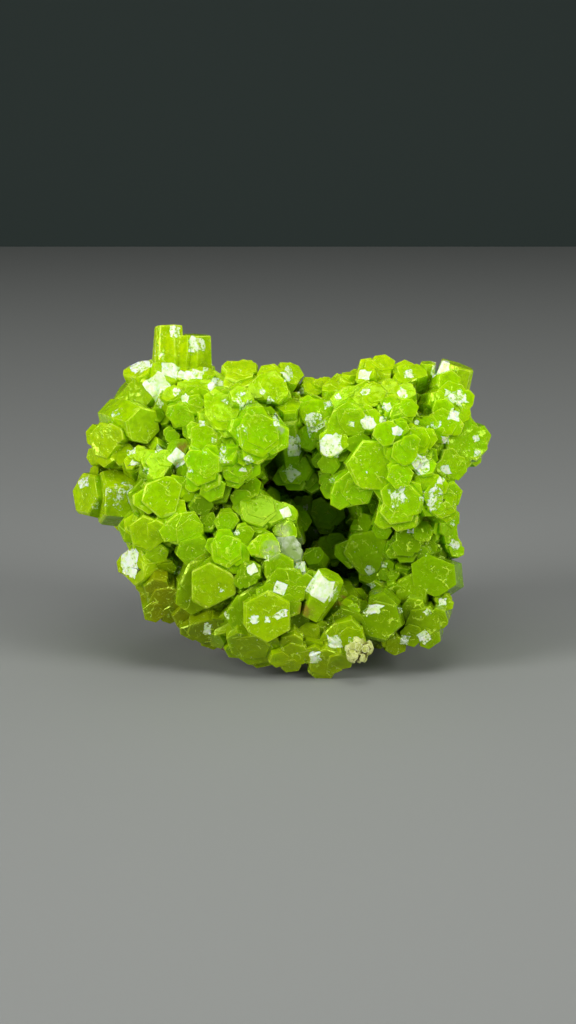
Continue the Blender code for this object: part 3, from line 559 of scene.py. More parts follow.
def row_values(row, chance):
    """What a row of the lists above means: its end, direction, radius, length and turn."""
    right, up, toward, radius, lean_right, lean_up = row[:6]
    radius *= SPREAD
    length = row[6] if len(row) > 6 else radius * USUAL_LENGTH + 1.0
    turn = row[7] if len(row) > 7 else chance.uniform(0.0, 60.0)
    facing = math.sqrt(max(0.0, 1.0 - lean_right ** 2 - lean_up ** 2))
    return from_face(right, up, toward), from_face(lean_right, lean_up, facing), radius, length, turn


def inside_edge(right, up):
    """Whether a place on the best face lies within the specimen's edge."""
    inside = False
    last_right, last_up = EDGE[-1]
    for edge_right, edge_up in EDGE:
        if (edge_up > up) != (last_up > up):
            crossing = (last_right - edge_right) * (up - edge_up) / (last_up - edge_up) + edge_right
            if right < crossing:
                inside = not inside
        last_right, last_up = edge_right, edge_up
    return inside


def within_lump(place, lump, margin=0.0):
    """Whether a place (right, up, toward) is inside a lump, shrunk by the margin."""
    right, up, toward, wide, high, deep = lump
    offset = place - Vector((right, up, toward))
    reach = (offset.x / (wide - margin)) ** 2 + (offset.y / (high - margin)) ** 2
    return reach + (offset.z / (deep - margin)) ** 2 < 1.0


def random_aim(chance):
    """A direction, each way as likely."""
    return Vector((chance.gauss(0, 1), chance.gauss(0, 1), chance.gauss(0, 1))).normalized()


def scatter(chance, taken, tries, smallest, largest, proud, sway, spacing, reach_share, front_too):
    """Crystals scattered over the root mass, each clear of the ones already there."""
    found = []
    for _ in range(tries):
        lump = chance.choice(ROOTS)
        aim = random_aim(chance)
        radius = chance.uniform(smallest, largest)
        swing = Vector([chance.gauss(0, sway) for _ in range(3)])
        middle = Vector(lump[:3])
        half = Vector(lump[3:])
        surface = middle + Vector((aim.x * half.x, aim.y * half.y, aim.z * half.z))
        outward = Vector((aim.x / half.x, aim.y / half.y, aim.z / half.z)).normalized()
        lean = (outward + swing).normalized()
        end = surface + lean * radius * proud
        others = [other for other in ROOTS if other is not lump]
        if any(within_lump(surface, other, OVERLAP) for other in others):
            continue
        if any(within_lump(end, rock, ROCK_MARGIN) for rock in ROCK_LUMPS):
            continue
        if (end.z > 0.0 and not front_too) or from_face(*end).z < FOOT_LEVEL + radius:
            continue
        reach = radius * reach_share
        rim = [end + Vector((side, rise, 0.0)) for side in (-reach, reach) for rise in (-reach, reach)]
        if not all(inside_edge(spot.x, spot.y) for spot in rim):
            continue
        if any((end - place).length < spacing * (radius + other) for place, other in taken):
            continue
        taken.append((end, radius))
        found.append((end, lean, radius, chance.uniform(0.0, 60.0)))
    return found


def settled(row):
    """How far toward the viewer a crystal's end is, once drawn closer to its neighbours' level."""
    near = [other[2] for other in FACE_ROWS
            if math.hypot(row[0] - other[0], row[1] - other[1]) < 1.3 * (row[3] + other[3])
            and abs(row[2] - other[2]) < 2.2]
    if row in TOWERS or not near:
        return row[2]
    return row[2] + SETTLING * (sum(near) / len(near) - row[2])


def off_middle(right, up, area):
    """How far a place is off an area's middle: 0 there, 1 at its edge, and squared between them."""
    return ((right - area[0]) / area[2]) ** 2 + ((up - area[1]) / area[3]) ** 2


def in_gap(right, up):
    """Whether a place on the best face is in one of the dark gaps."""
    return any(off_middle(right, up, gap) < 1.0 for gap in GAPS)


def rim_inside(middle, radius):
    """Whether a crystal's rim lies within the specimen's edge."""
    rim = [middle + Vector((math.cos(angle), math.sin(angle), 0.0)) * radius for angle in range(7)]
    return all(inside_edge(spot.x, spot.y) for spot in rim)


def seam_rows(chance):
    """Crystals between neighbouring rows, so that the best face is one crust with shallow seams."""
    found = []
    for number, row in enumerate(FACE_ROWS):
        for other in FACE_ROWS[:number]:
            apart = math.hypot(row[0] - other[0], row[1] - other[1])
            wide = (row[3] + other[3]) * SPREAD
            if apart > SEAM_APART[1] * wide or apart < SEAM_APART[0] * wide:
                continue
            if abs(row[2] - other[2]) > SEAM_STEP:
                continue
            if row in TOWERS or chance.random() > SEAM_SHARE:
                continue
            share = chance.uniform(*SEAM_PLACE)
            middle = Vector(row[:3]).lerp(Vector(other[:3]), share)
            aside = chance.uniform(-0.5, 0.5)
            middle.x += aside * (row[1] - other[1]) / apart
            middle.y -= aside * (row[0] - other[0]) / apart
            middle.z = min(settled(row), settled(other)) - chance.uniform(*SEAM_DEPTHS)
            radius = chance.uniform(*SEAM_SIZE) * min(row[3], other[3]) * SPREAD
            if in_gap(middle.x, middle.y) or not rim_inside(middle, radius):
                continue
            leans = zip(row[4:6], other[4:6])
            lean = Vector([(a + b) / 2.0 + chance.gauss(0.0, SEAM_SWAY) for a, b in leans])
            facing = math.sqrt(max(0.05, 1.0 - lean.length_squared))
            found.append((middle, (lean.x, lean.y, facing), radius, chance.uniform(0.0, 60.0)))
    return found


def skirt_rows(chance):
    """A wider crystal sunk round each of the best face's, so that no deep chink shows beside it."""
    found = []
    for row in FACE_ROWS:
        if in_gap(row[0], row[1]) or hollow_depth(*row[:3]) > 0.3:
            continue
        facing = math.sqrt(max(0.0, 1.0 - row[4] ** 2 - row[5] ** 2))
        sway = [share + chance.gauss(0.0, SKIRT_SWAY) for share in row[4:6]]
        lean = Vector((*sway, facing)).normalized()
        middle = Vector((row[0], row[1], settled(row))) - lean * row[3] * chance.uniform(*SKIRT_DEPTHS)
        radius = row[3] * SPREAD * chance.uniform(*SKIRT_SIZE)
        if rim_inside(middle, radius):
            found.append((middle, lean, radius, chance.uniform(0.0, 60.0)))
    return found


# The green crystals

HOLLOW_MIDDLE = Vector((3.5, 16.5, 0.0))
HOLLOW_SIZE = Vector((6.5, 7.5, 1.0))


def hollow_depth(right, up, toward):
    """How deep in the dark hollow a place lies, from 0 to 1."""
    offset = Vector(((right - HOLLOW_MIDDLE.x) / HOLLOW_SIZE.x, (up - HOLLOW_MIDDLE.y) / HOLLOW_SIZE.y))
    beside = max(0.0, 1.0 - max(0.0, offset.length - 0.7) / 0.6)
    behind = min(1.0, max(0.0, (4.5 - toward) / 5.0))
    return beside * behind


def share_between(value, none, full):
    """0 at `none`, 1 at `full` and beyond, and in proportion between them."""
    return min(1.0, max(0.0, (value - none) / (full - none)))


def olive_share(right, up):
    """How olive a crystal is, from 0 to 1: the left edge and the lower left are browner."""
    left = 0.25 * share_between(right, -13.0, -18.0) * share_between(up, 29.0, 24.0)
    low_left = share_between(up, 14.0, 9.0) * share_between(right, -5.0, -10.0)
    return max(left, low_left, 0.5 * share_between(up, 6.0, 2.0))


def warm_share(right, up):
    """How yellow a crystal is, from 0 to 1: the middle is the greenest."""
    low = 0.6 * share_between(up, 10.0, 5.0)
    return max(share_between(up, 26.5, 32.5), share_between(right, -10.0, -16.0), low)


def painted_shade_share(right, up):
    """How much painted shade, a deeper green, its place gives a crystal, from 0 to 1."""
    found = 0.0
    for area in PAINTED_SHADE_AREAS:
        found = max(found, area[4] * share_between(off_middle(right, up, area), 1.0, 0.5))
    return found


def colour_crystal(piece, end_on_face, chance, sunk=0.0):
    """Give one crystal its own tint and what its place does to its colour, painted shade included."""
    right, up = end_on_face[:2]
    # Painted shade: less of it high on the face, where the light from above falls.
    sunk *= 1.0 - 0.6 * share_between(up, 25.0, 31.0)
    marks = {
        "tint": 0.65 * warm_share(right, up) + 0.35 * chance.random(),
        "olive": olive_share(right, up),
        "deep": hollow_depth(*end_on_face),
        "sunk": max(sunk, painted_shade_share(right, up)),
        "painted_glint": 0.0,
    }
    for name, value in marks.items():
        paint(piece, name, value)


def grow(found, kinds, group, looks, shade=None):
    """Place and colour crystals, each by its end, lean, radius and turn; a shade darkens them."""
    for end, lean, radius, turn in found:
        piece = place_form(looks.choice(kinds), group, from_face(*end), from_face(*lean),
                           radius, radius * USUAL_LENGTH, turn)
        sunk = 0.0 if shade is None else shade * looks.uniform(0.5, 1.0)
        colour_crystal(piece, end, looks, sunk)


def add_roots(group, looks):
    """The mass that the crystals root in, as rough lumps."""
    for number, lump in enumerate(ROOTS):
        deselect()
        bpy.ops.mesh.primitive_ico_sphere_add(subdivisions=4, radius=1.0, location=(0, 0, 0))
        switch("EDIT")
        bpy.ops.transform.vertex_random(offset=ROOT_ROUGHNESS, uniform=0.0, normal=0.0, seed=number)
        switch("OBJECT")
        root = bpy.context.object
        root.name = f"root_{number}"
        size = Matrix.Diagonal((*[half * MM for half in lump[3:]], 1.0))
        root.matrix_world = Matrix.Translation(placed(*lump[:3])) @ FACING @ size
        colour_crystal(root, lump[:3], looks)
        for name in ("rounded_edge", "flat_end", "fleck"):
            paint(root, name, 0.0)
        move_to(root, group)


def grow_crystals(forms):
    """All the crystals with the mass that they root in, as one closed skin."""
    singles, plated, clustered = forms
    looks = random.Random(LOOKS_SEED)
    chance = random.Random(SEED)
    group = new_collection("crystals")
    for row in FACE_ROWS:
        end, direction, radius, length, turn = row_values(row, chance)
        end += from_face(0.0, 0.0, settled(row) - row[2])
        kinds = clustered + plated[:2] if radius > 2.0 else plated + singles[:3]
        if len(row) > 7:
            kinds = singles
        piece = place_form(looks.choice(kinds), group, end, direction, radius, length, turn)
        colour_crystal(piece, row[:3], looks)
    seams = seam_rows(looks)
    skirts = skirt_rows(looks)
    for found, shade in ((seams, SEAM_SHADE), (skirts, SKIRT_SHADE), (JOINING, 0.0)):
        grow(found, singles + plated, group, looks, shade)
    taken = [(Vector(row[:3]), row[3]) for row in FACE_ROWS]
    grow(scatter(chance, taken, *HIDDEN), clustered + plated, group, looks)
    small = scatter(looks, taken, *FILLERS) + scatter(looks, taken, *LIDS)
    grow(small, singles + plated, group, looks)
    add_roots(group, looks)
    return join_all(group, "green_crystals", -1)


def merged_copy(name, group):
    """A copy of a solid of the frame, with its loose triangles joined up."""
    piece = copy_of(frame["nodes"][name], group)
    piece.parent = None
    piece.hide_render = False
    choose(piece)
    switch("EDIT")
    bpy.ops.mesh.select_all(action="SELECT")
    bpy.ops.mesh.remove_doubles(threshold=1e-6)
    switch("OBJECT")
    piece.data.materials.clear()
    return piece


def ground_cube(top):
    """A cube larger than the specimen, up to this height."""
    deselect()
    bpy.ops.mesh.primitive_cube_add(size=GROUND_CUBE, location=(0.0, 0.0, top - GROUND_CUBE / 2.0))
    return bpy.context.object


def cut_level(piece, cutters):
    """Cut a piece flat where the specimen stands, and by what else the collection holds."""
    move_to(ground_cube(0.0), cutters)
    combine(piece, "DIFFERENCE", cutters)


def cut_to_frame(crystals):
    """Leave room for the rock, and cut the crystals flat where the specimen stands."""
    cutters = new_collection("cutters")
    merged_copy("ironstone_matrix", cutters)
    cut_level(crystals, cutters)


def rough_rock():
    """The brown rock: broken, gritty and cracked, up against the crystals."""
    rock = merged_copy("ironstone_matrix", bpy.context.scene.collection)
    rename(rock, "brown_rock")
    apply_modifier(rock, "REMESH", mode="VOXEL", voxel_size=ROCK_VOXEL * MM)
    apply_modifier(rock, "DISPLACE", strength=ROCK_SWELL * MM, mid_level=0.0)
    for kind, size, strength, level, settings in ROCK_RELIEF:
        relief = bpy.data.textures.new("relief", kind)
        relief.noise_scale = size * MM
        set_all(relief, settings)
        apply_modifier(rock, "DISPLACE", texture=relief, texture_coords="LOCAL",
                       strength=strength * MM, mid_level=level)
    feet = new_collection("feet")
    foot = merged_copy("ironstone_matrix", feet)
    slab = ground_cube(FOOT_HEIGHT * MM)
    boolean(foot, "INTERSECT", slab)
    remove(slab)
    combine(rock, "UNION", feet)
    cut_level(rock, new_collection("cutters"))
    return main_skin(rock)


def small_group(name, rows, kinds, chance, extra, core):
    """A small cluster: its rows' crystals at `core` of their radius, each with `extra` smaller ones."""
    group = new_collection(name + "_members")
    for row in rows:
        end, direction, radius, length, turn = row_values(row, chance)
        place_form(chance.choice(kinds), group, end, direction, radius * core, length, turn)
        for _ in range(extra):
            swing = Vector([chance.gauss(0.0, SPRIG_SWAY) for _ in range(3)])
            lean = (direction + swing).normalized()
            start = end - direction * radius * 0.9
            size = radius * chance.uniform(*SPRIG_SIZE)
            place_form(chance.choice(kinds), group, start + lean * radius * SPRIG_REACH, lean,
                       size, size * USUAL_LENGTH, chance.uniform(0.0, 60.0))
    return join_all(group, name)


def stage_camera():
    """The camera, at the photograph's viewing angle and scale."""
    camera = bpy.data.objects.new("camera", bpy.data.cameras.new("camera"))
    bpy.context.scene.collection.objects.link(camera)
    camera.data.sensor_fit = "VERTICAL"
    camera.data.sensor_height = SENSOR
    camera.data.lens = CAMERA_DISTANCE * PIXELS_PER_MM / PHOTO_HEIGHT * SENSOR
    camera.data.clip_start = 1.0 * MM
    camera.location = placed(*VIEW_MIDDLE, CAMERA_DISTANCE)
    camera.rotation_euler = (FACE_TURN, 0.0, 0.0)
    bpy.context.scene.camera = camera


def stage_lamps():
    """Soft square lamps round the specimen."""
    middle = placed(0.0, 18.0, 0.0)
    for name, (direction, distance, side, strength) in LAMPS.items():
        out = from_face(*direction).normalized()
        lamp = bpy.data.objects.new(name + "_lamp", bpy.data.lights.new(name + "_lamp", "AREA"))
        bpy.context.scene.collection.objects.link(lamp)
        lamp.data.shape = "SQUARE"
        lamp.data.size = side * MM
        lamp.data.energy = strength
        lamp.visible_glossy = name != "top"
        lamp.location = middle + out * distance * MM
        lamp.rotation_euler = out.to_track_quat("Z", "Y").to_euler()


def boolean(piece, operation, other):
    """Apply a Boolean with one other piece."""
    apply_modifier(piece, "BOOLEAN", operation=operation, operand_type="OBJECT", object=other,
                   solver="MANIFOLD")


def drop_cut_faces(piece):
    """Delete the faces that an outline's own walls left in a piece."""
    choose(piece)
    switch("EDIT")
    bpy.ops.mesh.select_mode(type="FACE")
    bpy.ops.mesh.select_all(action="DESELECT")
    switch("OBJECT")
    walls = [wall.value > 0.5 for wall in piece.data.attributes["cut"].data]
    piece.data.polygons.foreach_set("select", walls)
    switch("EDIT")
    bpy.ops.mesh.delete(type="FACE")
    switch("OBJECT")


def select_open_edges():
    """In edit mode, select the edges where a skin isn't closed."""
    bpy.ops.mesh.select_all(action="DESELECT")
    bpy.ops.mesh.select_non_manifold(use_verts=False)


def close_slits(piece):
    """Close the hair-thin slits that cutting along the outlines left."""
    choose(piece)
    switch("EDIT")
    bpy.ops.mesh.select_mode(type="EDGE")
    select_open_edges()
    bpy.ops.mesh.fill_holes(sides=0)
    for _ in range(3):
        select_open_edges()
        bpy.ops.mesh.edge_collapse()
    bpy.ops.mesh.select_all(action="SELECT")
    bpy.ops.mesh.delete_loose()
    switch("OBJECT")


def main_skin(piece):
    """Keep a piece's largest skin, without the small shells that lie free of it or inside it."""
    name = piece.name
    choose(piece)
    bpy.ops.mesh.separate(type="LOOSE")
    shells = sorted(bpy.context.selected_objects, key=lambda shell: len(shell.data.polygons))
    for shell in shells[:-1]:
        remove(shell)
    rename(shells[-1], name)
    return shells[-1]


def seen_spot(crystals, right, up):
    """The place on the crystals that shows at (right, up) on the best face, its normal and the view's."""
    eye = placed(*VIEW_MIDDLE, CAMERA_DISTANCE)
    aim = (placed(right, up, 0.0) - eye).normalized()
    spot, normal = crystals.ray_cast(eye, aim)[1:3]
    return spot, normal, aim


def add_outline(crystals, group, number, row):
    """Add a bright facet's outline, as a ragged prism; returns its middle and how whole it is."""
    right, up, half_wide, half_high, turn, sides, whole = row + GLINT_USUAL[len(row) - 4:]
    spot, normal, aim = seen_spot(crystals, right, up)
    slant = math.sqrt(max(0.0, 1.0 - aim.dot(normal) ** 2))
    depth = GLINT_DEPTH + 1.5 * max(half_wide, half_high) * slant
    deselect()
    bpy.ops.mesh.primitive_cylinder_add(vertices=sides, radius=GLINT_CORNERS[sides], depth=2.0)
    switch("EDIT")
    bpy.ops.mesh.subdivide(number_cuts=2)
    ragged = min(GLINT_MOST_RAGGED, GLINT_RAGGED * (1.15 - whole))
    bpy.ops.transform.vertex_random(offset=ragged, uniform=0.0, normal=0.0, seed=number)
    switch("OBJECT")
    outline = bpy.context.object
    turned = Matrix.Rotation(math.radians(turn), 4, "Z")
    size = Matrix.Diagonal((half_wide * MM, half_high * MM, depth * MM, 1.0))
    square_on = Matrix.Rotation(math.radians(45.0 if sides == 4 else 0.0), 4, "Z")
    outline.matrix_world = Matrix.Translation(spot) @ FACING @ turned @ size @ square_on
    paint(outline, "cut", 1.0)
    move_to(outline, group)
    return spot, whole


def mark_glints(crystals):
    """Split the surface along the outlines of the bright facets, and mark what lies inside them for the
    painted glints.
    """
    group = new_collection("outlines")
    bpy.context.view_layer.update()
    shares = [add_outline(crystals, group, number, row) for number, row in enumerate(GLINTS)]
    outlines = join_all(group, "outlines")
    inner = copy_of(crystals, bpy.context.scene.collection)
    boolean(inner, "INTERSECT", outlines)
    boolean(crystals, "DIFFERENCE", outlines)
    remove(outlines)
    drop_cut_faces(inner)
    drop_cut_faces(crystals)
    marks = inner.data.attributes["painted_glint"].data
    for face in inner.data.polygons:
        marks[face.index].value = min(shares, key=lambda share: (share[0] - face.center).length)[1]
    choose(crystals, inner)
    bpy.ops.object.join()
    switch("EDIT")
    bpy.ops.mesh.select_all(action="SELECT")
    bpy.ops.mesh.remove_doubles(threshold=1e-7)
    bpy.ops.mesh.delete_loose()
    switch("OBJECT")
    close_slits(crystals)


def shelter_of(piece, reach):
    """Store on each point how much of the sky its neighbourhood hides from it, from 0 to 1."""
    data = piece.data
    points = [vertex.co.copy() for vertex in data.vertices]
    tree = BVHTree.FromPolygons(points, [tuple(face.vertices) for face in data.polygons])
    looks = random.Random(LOOKS_SEED + 2)
    fan = [random_aim(looks) for _ in range(SHELTER_RAYS)]
    mark = data.attributes.new("shelter", "FLOAT", "POINT")
    values = []
    for vertex in data.vertices:
        start = vertex.co + vertex.normal * 0.05 * MM
        hidden = 0.0
        total = 1e-9
        for aim in fan:
            if aim.dot(vertex.normal) < 0.0:
                aim = -aim
            share = aim.dot(vertex.normal)
            total += share
            if tree.ray_cast(start, aim, reach * MM)[0] is not None:
                hidden += share
        values.append(hidden / total)
    mark.data.foreach_set("value", values)


# Finishes

def fill(tree, target, sources):
    """Give a node's inputs their sources, each another node's output or a plain value."""
    for name, source in sources.items():
        if isinstance(source, bpy.types.NodeSocket):
            tree.links.new(source, target.inputs[name])
        else:
            target.inputs[name].default_value = source


def node(tree, kind, sources, **settings):
    """Add a node with these settings, then its sources."""
    made = tree.nodes.new(kind)
    set_all(made, settings)
    fill(tree, made, sources)
    return made


def maths(tree, operation, first, second=0.0, third=0.0, clamp=False):
    """One Math node; returns its output."""
    sources = {0: first, 1: second, 2: third}
    return node(tree, "ShaderNodeMath", sources, operation=operation, use_clamp=clamp).outputs[0]


def times(tree, first, second):
    """The product of two values."""
    return maths(tree, "MULTIPLY", first, second)


def vector_maths(tree, operation, *sources):
    """One Vector Math node; returns its outputs."""
    return node(tree, "ShaderNodeVectorMath", dict(enumerate(sources)), operation=operation).outputs


def blend_colour(tree, share, below, above):
    """Mix two colours by a share; returns the colour."""
    return node(tree, "ShaderNodeMix", {0: share, 6: below, 7: above}, data_type="RGBA").outputs[2]


def lay_on(tree, below, share, strength, colour):
    """Lay a colour over another, as strongly as this where the share is 1."""
    return blend_colour(tree, times(tree, share, strength), below, (*colour, 1.0))


def stored(tree, name, output="Fac"):
    """A value that the mesh carries."""
    settings = {"attribute_name": name, "attribute_type": "GEOMETRY"}
    return node(tree, "ShaderNodeAttribute", {}, **settings).outputs[output]


def noise(tree, place, size, detail=3.0, roughness=0.55):
    """Soft noise whose blotches are about `size` millimetres wide."""
    sources = {"Vector": place, "Scale": 1.0 / (size * MM), "Detail": detail, "Roughness": roughness}
    return node(tree, "ShaderNodeTexNoise", sources).outputs["Fac"]


def ramp(tree, source, low, high):
    """Stretch a value so that `low` becomes 0 and `high` becomes 1."""
    sources = {"Value": source, "From Min": low, "From Max": high}
    return node(tree, "ShaderNodeMapRange", sources, interpolation_type="SMOOTHSTEP").outputs["Result"]


def patches(tree, place, low, high, *kind):
    """Noise of this size, detail and roughness, stretched into patches."""
    return ramp(tree, noise(tree, place, *kind), low, high)


def new_finish(name):
    """A new material, its nodes, its shader and the object's places."""
    finish = bpy.data.materials.new(name)
    finish.use_nodes = True
    tree = finish.node_tree
    place = node(tree, "ShaderNodeTexCoord", {}).outputs["Object"]
    return finish, tree, tree.nodes["Principled BSDF"], place


def complete(tree, shader, colour, rough, height, relief, spread=None):
    """Give a shader its colour, roughness, relief in millimetres and how light spreads inside."""
    bump = node(tree, "ShaderNodeBump", {"Strength": 1.0, "Distance": relief * MM, "Height": height})
    fill(tree, shader, {"Base Color": colour, "Roughness": rough, "Normal": bump.outputs["Normal"]})
    if spread:
        weight, radius, scale = spread
        fill(tree, shader, {"Subsurface Weight": weight, "Subsurface Radius": radius,
                            "Subsurface Scale": scale * MM})


def cells(tree, place, size, feature):
    """Distances in a pattern of cells about `size` millimetres wide."""
    sources = {"Vector": place, "Scale": 1.0 / (size * MM)}
    return node(tree, "ShaderNodeTexVoronoi", sources, feature=feature).outputs["Distance"]


def veins(tree, place, size, thin):
    """Thin crooked lines, about `size` millimetres apart."""
    return ramp(tree, cells(tree, place, size, "DISTANCE_TO_EDGE"), thin, thin * 0.3)


def specks(tree, place, size, wide):
    """Small round spots, about `size` millimetres apart."""
    return ramp(tree, cells(tree, place, size, "F1"), wide, wide * 0.5)


def marks_group():
    """Marks of growth: broken steps on the ends and sides, crooked scratches and pits, with painted sparkle
    in the flecks and a painted glow round the rim of each flat end.
    """
    group = bpy.data.node_groups.new("growth marks and painted sparkle", "ShaderNodeTree")
    for name, kind in (("Place", "NodeSocketVector"), ("Grown", "NodeSocketVector"),
                       ("Flat end", "NodeSocketFloat")):
        group.interface.new_socket(name=name, in_out="INPUT", socket_type=kind)
    for name in ("Height", "Lines", "Flecks", "Pits", "Rim"):
        group.interface.new_socket(name=name, in_out="OUTPUT", socket_type="NodeSocketFloat")
    given = group.nodes.new("NodeGroupInput").outputs
    result = group.nodes.new("NodeGroupOutput")
    place = given["Place"]
    swirl = node(group, "ShaderNodeTexNoise", {"Vector": place, "Scale": 1.0 / (0.8 * MM)})
    stretch = (0.6 * MM, 0.6 * MM, 0.6 * MM)
    crooked = vector_maths(group, "MULTIPLY_ADD", swirl.outputs["Color"], stretch, place)[0]
    apart = []
    for side in range(3):
        angle = math.tau * side / 6.0
        across = (math.cos(angle), math.sin(angle), 0.0)
        away = vector_maths(group, "DOT_PRODUCT", given["Grown"], across)["Value"]
        apart.append(maths(group, "ABSOLUTE", away))
    ring = maths(group, "MAXIMUM", maths(group, "MAXIMUM", apart[0], apart[1]), apart[2])
    down = times(group, node(group, "ShaderNodeSeparateXYZ", {0: given["Grown"]}).outputs["Z"], 0.7)
    mixed = node(group, "ShaderNodeMix", {0: given["Flat end"], 2: down, 3: ring}, data_type="FLOAT")
    wobble = times(group, noise(group, place, 1.1, 4.0), 4.5)
    steps = maths(group, "FRACT", maths(group, "MULTIPLY_ADD", mixed.outputs[0], 4.6, wobble))
    stepped = patches(group, place, 0.46, 0.58, 1.3, 2.0)
    step_lines = times(group, ramp(group, steps, 0.9, 0.99), stepped)
    scratches = times(group, veins(group, crooked, 1.3, 0.06), patches(group, place, 0.54, 0.6, 0.9))
    fine = times(group, veins(group, crooked, 0.6, 0.055), patches(group, place, 0.4, 0.35, 1.4))
    lines = maths(group, "MAXIMUM", maths(group, "MAXIMUM", step_lines, scratches), times(group, fine, 0.4))
    # Painted sparkle: small bright specks, in patches.
    flecks = times(group, specks(group, crooked, 0.38, 0.2), patches(group, place, 0.54, 0.63, 0.9, 2.0))
    pits = times(group, specks(group, place, 0.21, 0.34), patches(group, place, 0.5, 0.62, 0.9))
    swell = times(group, noise(group, place, 2.0, 2.0), 6.0)
    height = maths(group, "MULTIPLY_ADD", times(group, steps, stepped), 0.5, swell)
    height = maths(group, "ADD", height, times(group, lines, 0.6))
    height = maths(group, "SUBTRACT", maths(group, "ADD", height, times(group, flecks, 0.7)), pits)
    # Painted glow round the rim of each flat end.
    rim = times(group, ramp(group, ring, 0.35, 0.95), given["Flat end"])
    fill(group, result, {"Height": height, "Lines": lines, "Flecks": flecks, "Pits": pits, "Rim": rim})
    return group


def up_the_face(tree, place):
    """How far up the best face a place is, in millimetres."""
    upward = from_face(0.0, 1.0, 0.0)
    lift = vector_maths(tree, "DOT_PRODUCT", place, upward / MM)["Value"]
    return maths(tree, "SUBTRACT", lift, upward.dot(SHIFT))


def stain(tree, place, crystals, spots):
    """A mask of ragged stains round these spots of the best face."""
    found = 0.0
    for right, up, wide in spots:
        middle = seen_spot(crystals, right, up)[0]
        away = vector_maths(tree, "DISTANCE", place, middle)["Value"]
        found = maths(tree, "MAXIMUM", found, ramp(tree, away, wide * MM, wide * 0.3 * MM))
    return times(tree, found, patches(tree, place, 0.3, 0.55, 0.7, 4.0))


